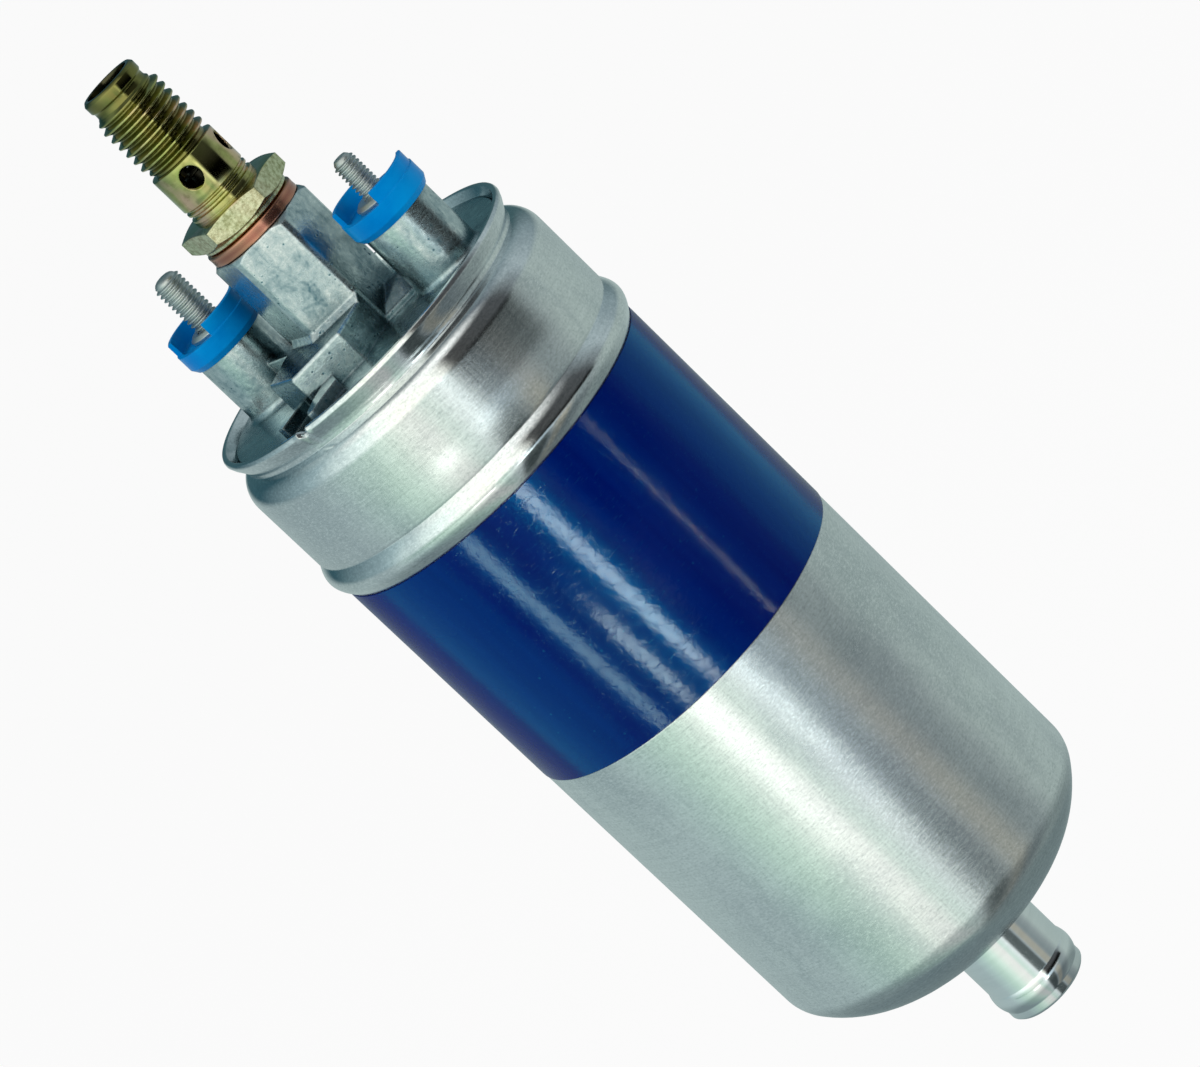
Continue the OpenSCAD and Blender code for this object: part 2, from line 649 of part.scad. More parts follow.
// Insulating bush with a collar under the head
module insulator(turn, d) {
  color("ivory") at_terminal(turn) turned([[d / 2 + seat, z_plug - collar_t], [collar_d / 2, z_plug - collar_t],
    [collar_d / 2, z_plug - 0.03], [insulator_r, z_plug - 0.03], [insulator_r, z_cap_floor - 0.1],
    [d / 2 + seat, z_cap_floor - 0.1]]);
}

module insulator_m5() { insulator(big_turn, stud_big_d); }
module insulator_m4() { insulator(tower_turn, stud_small_d); }

// Strip that joins the stud's foot to the brush spring
module contact(turn, d) {
  color("goldenrod") rotate(turn) difference() {
    translate([0, 0, z_contact]) linear_extrude(contact_t) union() {
      translate([brush_r - 3, -contact_w / 2]) square([tower_r - brush_r + 3, contact_w]);
      translate([tower_r, 0]) circle(r = 4);
    }
    translate([tower_r, 0, z_contact - 1]) cylinder(r = d / 2 + seat, h = 3);
  }
}

module contact_m5() { contact(big_turn, stud_big_d); }
module contact_m4() { contact(tower_turn, stud_small_d); }

// Brush gear

module brush_holder() {
  wall = 1.4;
  color("dimgray") difference() {
    union() {
      ring(head_r, bush_r + seat, z_holder, z_skirt - 0.03);
      ring(bush_r + 2, bush_r + seat, z_skirt - 0.1, z_tube);
      for (t = [tower_turn, big_turn]) rotate(t)
        translate([brush_r - brush_t / 2 - wall, -brush_w / 2 - wall, z_skirt - 0.1])
          cube([brush_t + 2 * wall, brush_w + 2 * wall, z_tube - z_skirt + 0.1]);
    }
    ring(bush_r + seat, 0, z_skirt - 1, z_tube + 1);
    // brush tubes; ribs above the brush stop it at the end of its travel
    for (t = [tower_turn, big_turn]) rotate(t) {
      translate([brush_r - brush_t / 2 - 0.08, -brush_w / 2 - 0.08, z_holder - 1])
        cube([brush_t + 0.16, brush_w + 0.16, z_brush_stop - z_holder + 1]);
      translate([brush_r - brush_t / 2 - 0.08, -brush_w / 2 + 0.6, z_holder - 1])
        cube([brush_t + 0.16, brush_w - 1.2, z_tube - z_holder + 2]);
    }
    // ways for the fuel, clear of the brush tubes
    for (i = [0:5]) rotate(tower_turn + 30 + 60 * i) translate([way_path, 0, z_holder - 1])
      cylinder(r = way_r, h = holder_t + 2, $fn = 32);
  }
}

module upper_bearing() {
  color("darkgoldenrod") ring(bush_r, shaft_r + run, z_bush, z_bush1);
}

module brush(turn) {
  color([0.2, 0.2, 0.2]) rotate(turn)
    translate([brush_r - brush_t / 2, -brush_w / 2, z_brush]) cube([brush_t, brush_w, brush_len]);
}

module brush_plus() { brush(big_turn); }
module brush_minus() { brush(tower_turn); }

module brush_spring(turn) {
  color("gray") rotate(turn) translate([brush_r, 0, 0])
    coil_spring(brush_t / 2 - 0.55, 0.3, 6, z_brush1 + 0.02, z_contact - 0.02);
}

module brush_spring_plus() { brush_spring(big_turn); }
module brush_spring_minus() { brush_spring(tower_turn); }

// Motor

module flux_ring() {
  color("dimgray") ring(flux_r, flux_r - flux_wall, z_flux + 0.03, z_holder - 0.03);
}

module magnet(turn) {
  color([0.25, 0.25, 0.27]) rotate(turn) translate([0, 0, z_mid - magnet_len / 2])
    linear_extrude(magnet_len) sector(magnet_out, magnet_in, -62, 62);
}

module magnet_north() { magnet(0); }
module magnet_south() { magnet(180); }

// Spring clips that hold the magnets apart
module magnet_clips() {
  h = magnet_len - 8;
  color("lightsteelblue") for (t = [90, 270]) rotate(t) translate([0, 0, z_mid - h / 2])
    linear_extrude(h) {
      sector(magnet_out, magnet_out - 0.9, -27, 27);
      for (s = [-1, 1]) rotate(26.2 * s) translate([magnet_in + 0.9, -0.45]) square([magnet_t - 1.3, 0.9]);
    }
}

module shaft() {
  color("lightgray") difference() {
    rod(shaft_r, z_cam - 1.5, z_shaft, 0.5);
    // two flats drive the rotor
    for (s = [-1, 1]) translate([s * (flat_half + 5), 0, z_cam1 - (cam_t + 4) / 2])
      cube([10, 20, cam_t + 4], center = true);
  }
}

// Outline of one armature slot, narrowed by g on every side
module slot_shape(g) {
  r0 = 10.5;
  r1 = core_r - 2.4;
  w0 = 2 * r0 * sin(180 / slot_n) - 3.4;
  w1 = 2 * r1 * sin(180 / slot_n) - 3.8;
  polygon([[r0 + g, -w0 / 2 + g], [r1 - g, -w1 / 2 + g], [r1 - g, w1 / 2 - g], [r0 + g, w0 / 2 - g]]);
}

module armature_core() {
  color("slategray") difference() {
    rod(core_r, z_core, z_core1);
    translate([0, 0, z_core - 1]) linear_extrude(core_len + 2) {
      circle(r = shaft_r + 0.02);
      for (i = [0:slot_n - 1]) rotate(360 / slot_n * i) {
        slot_shape(0);
        translate([core_r - 3.5, -1]) square([6, 2]);
      }
    }
  }
}

module windings() {
  r1 = core_r - 1;
  color("peru") {
    for (s = [0, 1]) {
      z0 = s == 0 ? z_core - 0.02 - coil_h : z_core1 + 0.02;
      turned(concat([[6.2, z0], [r1 - 3, z0]],
        s == 0 ? arc(r1 - 3, z0 + 3, 3, -90, 0, 6) : [[r1, z0]],
        s == 0 ? [[r1, z0 + coil_h], [6.2, z0 + coil_h]]
               : concat(arc(r1 - 3, z0 + coil_h - 3, 3, 0, 90, 6), [[6.2, z0 + coil_h]])));
    }
    translate([0, 0, z_core - 0.5]) linear_extrude(core_len + 1)
      for (i = [0:slot_n - 1]) rotate(360 / slot_n * i) slot_shape(0.15);
  }
}

module commutator_hub() {
  color("saddlebrown") difference() {
    union() {
      rod(comm_r - 1, z_comm_back, z_face - comm_t);
      rod(comm_in - 0.3, z_comm_back, z_face + 1);
      rod(6, z_comm_back, z_bush - 1);
    }
    rod(shaft_r + 0.02, z_comm_back - 1, z_bush);
  }
}

module commutator_bars() {
  gap = 0.35;
  color("peru") for (i = [0:slot_n - 1]) rotate(360 / slot_n * i) {
    difference() {
      translate([0, 0, z_face - comm_t + 0.02]) linear_extrude(comm_t - 0.02)
        difference() {
          sector(comm_r, comm_in, -180 / slot_n, 180 / slot_n);
          for (s = [-1, 1]) rotate(s * 180 / slot_n) translate([0, -gap / 2]) square([comm_r + 2, gap]);
        }
    }
    // hook that the coil's wire is hung on
    translate([comm_r - 0.2, -0.9, z_face - comm_t - 1.5]) cube([1.2, 1.8, comm_t + 0.9]);
  }
}

module thrust_washers() {
  color("whitesmoke") {
    ring(bush_r - 0.5, shaft_r + 0.02, z_flux + play, z_flux + play + 0.8);
    ring(bush_r - 0.5, shaft_r + 0.02, z_bush - 0.95, z_bush - play);
  }
}

// Pump

module screw_places() {
  for (i = [0:screw_n - 1]) rotate(36 + 360 / screw_n * i) translate([screw_path, 0, 0]) children();
}

module base_plate() {
  color("darkgray") difference() {
    turned([[bush_r + 0.02, z_cam1], [plate_r - 0.4, z_cam1], [plate_r, z_cam1 + 0.4],
      [plate_r, z_flux - 0.4], [plate_r - 0.4, z_flux], [bush_r + 0.02, z_flux]]);
    // delivery port, on the side where the cells shrink
    translate([0, 0, z_cam1 - 1]) linear_extrude(base_plate_t + 2) kidney(cam_r - 2.6, 4.2, 25, 150);
    screw_places() rod(2.02, z_cam1 - 1, z_flux - 1.6);
  }
}

module lower_bearing() {
  color("darkgoldenrod") ring(bush_r, shaft_r + run, z_cam1 + 0.02, z_flux - 0.02);
}

module cam_ring() {
  color("gray") difference() {
    rod(plate_r, z_cam + 0.02, z_cam1 - 0.02, 0.3);
    translate([cam_offset, 0, z_cam - 1]) cylinder(r = cam_r, h = cam_t + 2);
    screw_places() rod(2.1, z_cam - 1, z_cam1 + 1);
  }
}

module end_plate() {
  color("darkgray") difference() {
    rod(plate_r, z_plate, z_cam, 0);
    // suction port, on the side where the cells grow
    translate([0, 0, z_plate - 1]) linear_extrude(end_plate_t + 2) kidney(cam_r - 2.6, 4.2, 205, 335);
    rod(shaft_r + 0.5, z_cam - 2.2, z_cam + 1);
    screw_places() {
      rod(2.1, z_plate - 1, z_cam + 1);
      rod(3.4, z_plate - 1, z_plate + 3.1);
    }
    rotate(relief_turn) translate([relief_path, 0, 0]) {
      rod(relief_port_r, z_relief - 1, z_cam + 1);
      rod(relief_bore_r, z_plate - 1, z_relief);
    }
  }
}

module pump_screws() {
  color("lightgray") screw_places() difference() {
    turned([[0, z_plate + 0.05], [3, z_plate + 0.05], [3.3, z_plate + 0.35], [3.3, z_plate + 3.05],
      [1.95, z_plate + 3.05], [1.95, z_flux - 2.2], [1.6, z_flux - 1.8], [0, z_flux - 1.8]]);
    translate([0, 0, z_plate - 1]) cylinder(r = 1.75, h = 2.9, $fn = 6);
  }
}

// Slotted disc that carries the rollers
module rotor() {
  color("gray") difference() {
    rod(rotor_r, z_cam + play, z_cam1 - play, 0.2);
    translate([0, 0, z_cam - 1]) linear_extrude(cam_t + 2) {
      intersection() {
        circle(r = shaft_r + 0.05);
        square([2 * flat_half + 0.1, shaft_d + 2], center = true);
      }
      for (i = [0:4]) rotate(72 * i) {
        translate([roller_path - 0.1, 0]) circle(r = roller_r + seat);
        translate([roller_path - 0.1, -roller_r - seat]) square([8, roller_d + 2 * seat]);
      }
    }
  }
}

module roller(i) {
  color("lightgray") rotate(72 * (i - 1)) translate([roller_path, 0, 0])
    rod(roller_r, z_cam + play, z_cam1 - play, 0.3);
}

module roller_1() { roller(1); }
module roller_2() { roller(2); }
module roller_3() { roller(3); }
module roller_4() { roller(4); }
module roller_5() { roller(5); }

module at_relief() { rotate(relief_turn) translate([relief_path, 0, 0]) children(); }

module relief_cage() {
  color("lightgray") at_relief() {
    difference() {
      union() {
        rod(cage_r, z_cage, z_plate - 0.03);
        rod(cage_r + 1.2, z_plate - 1.1, z_plate - 0.03);
      }
      rod(relief_bore_r, z_cage + 1, z_plate + 1);
      // side windows that let the spilled fuel out
      for (a = [0, 90]) rotate(a + 45) translate([0, 0, z_plate - 3.4]) rotate([90, 0, 0])
        cylinder(r = 1, h = 20, center = true, $fn = 32);
    }
    // pin that stops the ball
    turned([[0, z_cage + 0.5], [1.1, z_cage + 0.5], [1.1, z_ball_stop - 0.2], [0.9, z_ball_stop],
      [0, z_ball_stop]]);
  }
}

module relief_ball() {
  color("lightgray") at_relief() translate([0, 0, z_ball]) sphere(r = relief_ball_r);
}

module relief_spring() {
  color("gray") at_relief() coil_spring(1.9, 0.25, 5, z_cage + 1.02, z_ball - 1.7);
}

can();
band_sleeve();
inlet_nipple();
inlet_strainer();
head();
head_oring();
valve_body();
copper_washer();
valve_plug();
valve_poppet();
poppet_seal();
valve_spring();
stud_m5();
stud_m4();
washer_m5();
washer_m4();
cap_m5();
cap_m4();
insulator_m5();
insulator_m4();
contact_m5();
contact_m4();
brush_holder();
upper_bearing();
brush_plus();
brush_minus();
brush_spring_plus();
brush_spring_minus();
flux_ring();
magnet_north();
magnet_south();
magnet_clips();
shaft();
armature_core();
windings();
commutator_hub();
commutator_bars();
thrust_washers();
base_plate();
lower_bearing();
cam_ring();
end_plate();
pump_screws();
rotor();
roller_1();
roller_2();
roller_3();
roller_4();
roller_5();
relief_cage();
relief_ball();
relief_spring();
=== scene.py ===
import json
import math

import bmesh
import bpy
from mathutils import Matrix, Vector


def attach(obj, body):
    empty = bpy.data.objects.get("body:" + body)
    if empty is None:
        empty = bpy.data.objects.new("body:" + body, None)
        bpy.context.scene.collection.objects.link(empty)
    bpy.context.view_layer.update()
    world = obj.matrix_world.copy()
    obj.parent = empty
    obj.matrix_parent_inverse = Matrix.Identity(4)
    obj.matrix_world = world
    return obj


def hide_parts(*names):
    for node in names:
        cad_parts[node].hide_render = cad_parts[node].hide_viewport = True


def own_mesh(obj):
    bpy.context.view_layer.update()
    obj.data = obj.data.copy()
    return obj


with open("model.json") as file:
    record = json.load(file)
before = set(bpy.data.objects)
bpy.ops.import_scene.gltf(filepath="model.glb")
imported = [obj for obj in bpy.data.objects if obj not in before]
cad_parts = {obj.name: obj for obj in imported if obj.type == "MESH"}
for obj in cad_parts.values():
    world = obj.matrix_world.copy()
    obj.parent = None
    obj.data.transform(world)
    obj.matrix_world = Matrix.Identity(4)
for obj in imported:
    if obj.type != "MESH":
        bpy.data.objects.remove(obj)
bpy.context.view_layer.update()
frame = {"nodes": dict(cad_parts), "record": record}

MM = 0.001

# Sizes in millimetres, the same as the construction's
CAN_R, CAN_WALL = 30.0, 1.3
Z_KNUCKLE, Z_BAND0, Z_BAND1 = -27.2, 27.2, 69.4
Z_BEAD0, BEAD_W, BEAD_RISE = 69.5, 5.8, 1.25
Z_SHOULDER, SHOULDER_H, Z_NECK, Z_LIP, Z_DECK = 88.5, 4.7, 93.2, 97.0, 95.6
COLLAR_R, NECK_R, LIP_R = 30.25, 27.5, 29.0
KNUCKLE_R, DOME_R, KNUCKLE_ANGLE = 6.0, 19.5, 33.0
NIPPLE_R, NIPPLE_BORE, NIPPLE_LEN, HOSE_BEAD_R, LAND = 7.6, 6.0, 18.6, 8.05, 1.9
Z_BOSS, Z_VALVE, Z_HEX, Z_HEX1 = 118.0, 120.0, 120.9, 124.5
Z_BANJO, Z_THREAD, Z_NOSE, Z_TOP = 127.2, 134.1, 145.7, 148.9
BANJO_R, THREAD_R, NOSE_R, PORT_TURN, PORT_R, Z_PORT = 6.0, 5.9, 4.97, -104.0, 1.725, 131.0
HEX_AF, HEX_TURN = 17.0, -67.0
TOWER_R, TOWER_TURN = 19.2, -36.0
Z_CAP_FLOOR, Z_FOOT, Z_CONTACT, Z_RIVET = 110.1, 111.2, 82.77, 81.65

# Spans of height, in millimetres, over which a finish or its painted shade changes
DOME_SHADE_SPAN, ROLLED_SPANS, BLOCK_TOP_SHADE_SPAN = (-40.0, -30.4), ((70.0, 75.6), (88.8, 98.0)), (99.0, 102.4)
WASHER_SHADE_BAND, HEX_SPAN, THREAD_SPAN = (118.75, 119.25), (120.2, 124.4), (131.5, 153.0)

# Each spring: its joint, the height of its fixed end, and the travel that presses it
SPRINGS = {"valve_spring": ("check_valve_lift", 144.91, 2.5), "relief_spring": ("relief_ball_slide", -35.396, 1.2),
           "brush_spring_plus": ("brush_plus_slide", 82.75, 2.5),
           "brush_spring_minus": ("brush_minus_slide", 82.75, 2.5)}

# Nodes inside the check valve, painted dark as shade
INNER_SHADE_NODES = ("valve_poppet", "valve_spring")

# The photo's viewpoint in millimetres, its turns in degrees, and its lens
CAMERA_SPOT, CAMERA_HEADING, CAMERA_DIP, CAMERA_ROLL = (2.601, -662.555, 239.612), 0.0162, 16.2, -46.145
CAMERA_LENS, CAMERA_SENSOR = 135.87, 36.0


# ---------------------------------------------------------------- camera

def aim_camera():
    data = bpy.data.cameras.new("camera")
    data.lens, data.sensor_width = CAMERA_LENS, CAMERA_SENSOR
    data.clip_start, data.clip_end = 0.05, 20.0
    cam = bpy.data.objects.new("camera", data)
    heading, dip, roll = (math.radians(turn) for turn in (CAMERA_HEADING, CAMERA_DIP, CAMERA_ROLL))
    ahead = Vector((-math.sin(heading) * math.cos(dip), math.cos(heading) * math.cos(dip), -math.sin(dip)))
    level = ahead.cross(Vector((0, 0, 1))).normalized()
    upright = level.cross(ahead)
    right = level * math.cos(roll) + upright * math.sin(roll)
    up = upright * math.cos(roll) - level * math.sin(roll)
    turn = Matrix((right, up, -ahead)).transposed().to_4x4()
    cam.matrix_world = Matrix.Translation(Vector(CAMERA_SPOT) * MM) @ turn
    bpy.context.scene.collection.objects.link(cam)
    bpy.context.scene.camera = cam


# ---------------------------------------------------------------- node helpers

def put(tree, kind, into=None, **settings):
    """Adds a node; into maps socket names or numbers to values or to other sockets."""
    node = tree.nodes.new(kind)
    for key, value in settings.items():
        setattr(node, key, value)
    for key, value in (into or {}).items():
        socket = node.inputs[key]
        if isinstance(value, bpy.types.NodeSocket):
            tree.links.new(value, socket)
        else:
            socket.default_value = value
    return node


def maths(tree, operation, a, b=0.0, c=None, clamp=False):
    into = {0: a, 1: b}
    if c is not None:
        into[2] = c
    return put(tree, "ShaderNodeMath", into, operation=operation, use_clamp=clamp).outputs[0]


def times(tree, a, b, plus=None, clamp=False):
    """a times b, or a times b and then plus."""
    return maths(tree, "MULTIPLY" if plus is None else "MULTIPLY_ADD", a, b, plus, clamp)


def ramp(tree, value, *stops):
    """A colour for a value, from stops of (place, colour)."""
    node = put(tree, "ShaderNodeValToRGB", {"Fac": value})
    points = node.color_ramp.elements
    points[0].position, points[1].position = stops[0][0], stops[-1][0]
    for place, _ in stops[1:-1]:
        points.new(place)
    for point, (_, colour) in zip(points, stops):
        point.color = colour + (1.0,)
    return node.outputs["Color"]


def mix(tree, share, a, b, kind="MIX"):
    node = put(tree, "ShaderNodeMix", data_type="RGBA", blend_type=kind)
    for number, value in ((0, share), (6, a), (7, b)):
        if isinstance(value, bpy.types.NodeSocket):
            tree.links.new(value, node.inputs[number])
        else:
            node.inputs[number].default_value = tuple(value) + (1.0,) if number else value
    return node.outputs[2]


def lay(tree, under, mask, share, colour):
    """Lays a colour over another where the mask says, as strongly as share."""
    return mix(tree, times(tree, mask, share), under, colour)


def stretched(tree, coord, scale):
    return put(tree, "ShaderNodeMapping", {"Vector": coord, "Scale": scale}).outputs[0]


def noise(tree, coord, scale, detail=3.0, rough=0.55, distort=0.0):
    return put(tree, "ShaderNodeTexNoise", {"Vector": coord, "Scale": scale, "Detail": detail,
                                            "Roughness": rough, "Distortion": distort}).outputs["Fac"]


def dots(tree, coord, scale):
    """Distance from the nearest of many scattered points."""
    return put(tree, "ShaderNodeTexVoronoi", {"Vector": coord, "Scale": scale}).outputs["Distance"]


def between(tree, value, low, high, a=0.0, b=1.0):
    """Goes from low to high as the value goes from a to b."""
    return put(tree, "ShaderNodeMapRange", {"Value": value, 1: a, 2: b, 3: low, 4: high}).outputs[0]


def bump(tree, height, depth, normal=None):
    into = {"Height": height, "Strength": 1.0, "Distance": depth}
    if normal is not None:
        into["Normal"] = normal
    return put(tree, "ShaderNodeBump", into).outputs[0]


def axes_of(tree, vector):
    return put(tree, "ShaderNodeSeparateXYZ", {0: vector}).outputs


def from_axis(tree, axes):
    """Distance from the Z axis."""
    return maths(tree, "SQRT", times(tree, axes[0], axes[0], times(tree, axes[1], axes[1])))


def at_height(tree, coord, *spans, blur=0.0002):
    """1 inside the given spans of Z, in millimetres, else 0."""
    z = axes_of(tree, coord)[2]
    total = None
    for low, high in spans:
        up = between(tree, z, 0.0, 1.0, low * MM - blur, low * MM + blur)
        down = between(tree, z, 1.0, 0.0, high * MM - blur, high * MM + blur)
        span = times(tree, up, down)
        total = span if total is None else maths(tree, "MAXIMUM", total, span)
    return total


# ---------------------------------------------------------------- shared effects

GROUPS = {}


def effect(name, control, *results):
    """A shared shader group: returns its tree, its inputs and a function that gives one of its results."""
    tree = GROUPS[name] = bpy.data.node_groups.new(name, "ShaderNodeTree")
    tree.interface.new_socket("Coord", in_out="INPUT", socket_type="NodeSocketVector")
    if control:
        tree.interface.new_socket(control, in_out="INPUT", socket_type="NodeSocketFloat")
    for label in results:
        kind = "NodeSocketVector" if label == "Rounded" else "NodeSocketFloat"
        tree.interface.new_socket(label, in_out="OUTPUT", socket_type=kind)
    out = tree.nodes.new("NodeGroupOutput")

    def give(label, socket):
        tree.links.new(socket, out.inputs[label])
    return tree, tree.nodes.new("NodeGroupInput").outputs, give


def use(tree, name, coord, **values):
    node = tree.nodes.new("ShaderNodeGroup")
    node.node_tree = GROUPS[name]
    tree.links.new(coord, node.inputs["Coord"])
    for label, value in values.items():
        node.inputs[label].default_value = value
    return node.outputs


def make_cast_skin():
    """The skin of a die casting: flow marks, fine grain and small pits."""
    tree, ins, give = effect("cast_skin", None, "Tone", "Height")
    coord = ins["Coord"]
    broad = noise(tree, coord, 110.0, 4.0, 0.6, 0.8)
    speckle = noise(tree, coord, 1250.0, 3.0, 0.6)
    fine = noise(tree, coord, 2600.0, 3.0, 0.6)
    flow = noise(tree, stretched(tree, coord, (1.0, 1.0, 0.3)), 420.0, 3.0, 0.5, 1.5)
    rare = between(tree, noise(tree, coord, 240.0), 0.0, 1.0, 0.54, 0.66)
    pits = times(tree, between(tree, dots(tree, coord, 1100.0), 1.0, 0.0, 0.1, 0.26), rare)
    tone = times(tree, speckle, 0.3, times(tree, broad, 0.45, times(tree, flow, 0.25)))
    height = times(tree, fine, 0.3, times(tree, speckle, 0.7))
    give("Tone", times(tree, pits, -0.3, tone))
    give("Height", times(tree, pits, -0.8, height))


def make_hand_scuffs():
    """Short scratches in several directions and a few rubbed patches."""
    tree, ins, give = effect("hand_scuffs", "Amount", "Scratches", "Patches")
    total = None
    directions = (((0.3, 0.9, 0.2), 90.0), ((1.1, 0.2, 0.8), 130.0), ((0.7, 1.9, 2.3), 70.0))
    for number, (turn, scale) in enumerate(directions):
        place = put(tree, "ShaderNodeMapping", {"Vector": ins["Coord"], "Rotation": turn, "Scale": (1.0, 38.0, 38.0),
                                                "Location": (0.7 * number, 0.3, 0.1)}).outputs[0]
        line = between(tree, noise(tree, place, scale, 1.0), 0.0, 1.0, 0.69, 0.76)
        total = line if total is None else maths(tree, "MAXIMUM", total, line)
    rubbed = between(tree, noise(tree, ins["Coord"], 48.0, 4.0, 0.6, 0.5), 0.0, 1.0, 0.42, 0.7)
    give("Scratches", times(tree, total, ins["Amount"], clamp=True))
    give("Patches", times(tree, rubbed, ins["Amount"], clamp=True))


def make_lines(name, grain, detail, streak, scale):
    """Fine lines stretched as grain says, and broader streaks along them."""
    tree, ins, give = effect(name, "Pitch", "Height", "Streaks")
    give("Height", noise(tree, stretched(tree, ins["Coord"], grain), ins["Pitch"], detail, 0.6))
    give("Streaks", noise(tree, stretched(tree, ins["Coord"], streak), scale, 4.0, 0.6))


def make_edge_wear_and_highlight():
    """Where an edge sticks out: compares the rounded normal with the flat one; the mask lightens edges as wear and as
    painted highlight.
    """
    tree, ins, give = effect("edge_wear_and_highlight", "Width", "Mask", "Rounded")
    rounded = put(tree, "ShaderNodeBevel", {"Radius": ins["Width"]}, samples=4).outputs[0]
    flat = put(tree, "ShaderNodeNewGeometry").outputs["Normal"]
    along = put(tree, "ShaderNodeVectorMath", {0: rounded, 1: flat}, operation="DOT_PRODUCT").outputs["Value"]
    mask = between(tree, along, 0.0, 1.0, 0.995, 0.86)
    broken = between(tree, noise(tree, ins["Coord"], 700.0, 4.0), 0.25, 1.0, 0.35, 0.6)
    give("Mask", times(tree, mask, broken, clamp=True))
    give("Rounded", rounded)


def make_painted_corner_shade():
    """Painted shade where two walls meet, darker where the ambient occlusion finds less open sky, broken by a noise
    patch.
    """
    tree, ins, give = effect("painted_corner_shade", "Reach", "Mask")
    open_sky = put(tree, "ShaderNodeAmbientOcclusion", {"Distance": ins["Reach"]}, samples=8).outputs["AO"]
    patch = noise(tree, ins["Coord"], 420.0, 4.0, 0.6)
    shade = times(tree, patch, 0.5, maths(tree, "SUBTRACT", 0.62, open_sky))
    give("Mask", between(tree, shade, 0.0, 1.0, 0.05, 0.5))


make_cast_skin()
make_hand_scuffs()
make_lines("drawn_lines", (1.0, 1.0, 0.012), 3.0, (1.0, 1.0, 0.06), 260.0)
make_lines("turned_lines", (0.015, 0.015, 1.0), 2.0, (0.06, 0.06, 1.0), 900.0)
make_edge_wear_and_highlight()
make_painted_corner_shade()


# ---------------------------------------------------------------- materials

FINISH = {}


def start(name, **constants):
    """Begins a finish with its Principled shader; constants go on the shader's own sockets."""
    material = FINISH[name] = bpy.data.materials.new(name)
    material.use_nodes = True
    tree = material.node_tree
    shader = tree.nodes["Principled BSDF"]
    for label, value in constants.items():
        shader.inputs[label.replace("_", " ")].default_value = value
    return tree, shader, put(tree, "ShaderNodeTexCoord").outputs["Object"]


def dress(tree, shader, **sockets):
    """Links node outputs to the shader's sockets."""
    for label, socket in sockets.items():
        tree.links.new(socket, shader.inputs[label.replace("_", " ")])


def metal(name, colour, dark, rough, lines="turned_lines", pitch=4000.0, depth=2e-6, scuffs=0.4, edge=0.00015,
          spread=0.1):
    """Machined, drawn or ground metal. Returns what a richer finish goes on from."""
    tree, shader, coord = start(name, Metallic=1.0)
    grooves = use(tree, lines, coord, Pitch=pitch)
    marks = use(tree, "hand_scuffs", coord, Amount=scuffs)
    edges = use(tree, "edge_wear_and_highlight", coord, Width=edge)
    bright = tuple(min(1.0, c * 1.15) for c in colour)
    tint = mix(tree, between(tree, grooves["Streaks"], 0.0, 1.0, 0.3, 0.7), dark, colour)
    # edges lightened: worn and painted highlight
    tint = mix(tree, edges["Mask"], tint, bright)
    tint = lay(tree, tint, marks["Scratches"], 0.5, bright)
    base = between(tree, noise(tree, coord, 70.0, 3.0), rough - spread / 2, rough + spread / 2, 0.3, 0.7)
    high = times(tree, marks["Scratches"], -0.6, grooves["Height"])
    dress(tree, shader, Base_Color=tint, Roughness=times(tree, marks["Patches"], 0.06, base),
          Normal=bump(tree, high, depth, edges["Rounded"]))
    return tree, shader, coord, tint


def can_aluminium():
    """Drawn sheet: wiped patches, crossed hairlines, and a burnished shoulder where the neck was rolled."""
    tree, shader, coord = start("can_aluminium", Metallic=1.0)
    drawn = use(tree, "drawn_lines", coord, Pitch=4200.0)
    rings = use(tree, "turned_lines", coord, Pitch=2600.0)
    marks = use(tree, "hand_scuffs", coord, Amount=0.7)
    edges = use(tree, "edge_wear_and_highlight", coord, Width=0.00025)
    weave = times(tree, maths(tree, "ADD", drawn["Height"], rings["Height"]), 0.5)
    wiped = noise(tree, stretched(tree, coord, (1.0, 1.0, 0.45)), 62.0, 5.0, 0.62, 0.9)
    sparkle = noise(tree, stretched(tree, coord, (1.0, 1.0, 2.2)), 1500.0, 3.0, 0.7)
    cloud = noise(tree, coord, 24.0, 5.0, 0.6, 0.5)
    tint = mix(tree, between(tree, weave, 0.0, 1.0, 0.36, 0.62), (0.66, 0.7, 0.695), (0.8, 0.84, 0.83))
    for mask, colour in ((between(tree, wiped, 0.0, 0.7, 0.46, 0.66), (0.5, 0.55, 0.57)),
                         (between(tree, cloud, 0.0, 0.5, 0.48, 0.62), (0.58, 0.61, 0.64)),
                         (between(tree, sparkle, 0.0, 0.75, 0.5, 0.72), (0.9, 0.93, 0.93)),
                         (between(tree, sparkle, 0.6, 0.0, 0.3, 0.46), (0.45, 0.5, 0.5))):
        tint = mix(tree, mask, tint, colour)
    tint = lay(tree, tint, marks["Scratches"], 0.45, (0.93, 0.95, 0.95))
    # edges lightened: worn and painted highlight
    tint = lay(tree, tint, edges["Mask"], 0.5, (0.92, 0.94, 0.94))
    # painted shade: the lower dome is darkened
    dome_shade = at_height(tree, coord, DOME_SHADE_SPAN, blur=0.0004)
    tint = mix(tree, dome_shade, tint, mix(tree, 1.0, tint, (0.82, 0.85, 0.87), "MULTIPLY"))
    rough = times(tree, maths(tree, "ADD", wiped, weave), 0.12, 0.13)
    rolled = at_height(tree, coord, *ROLLED_SPANS, blur=0.0006)
    rough = times(tree, rough, times(tree, rolled, -0.5, 1.0))
    high = times(tree, sparkle, 0.9, times(tree, marks["Scratches"], -0.5, weave))
    dress(tree, shader, Base_Color=tint, Roughness=rough, Normal=bump(tree, high, 5e-6, edges["Rounded"]))


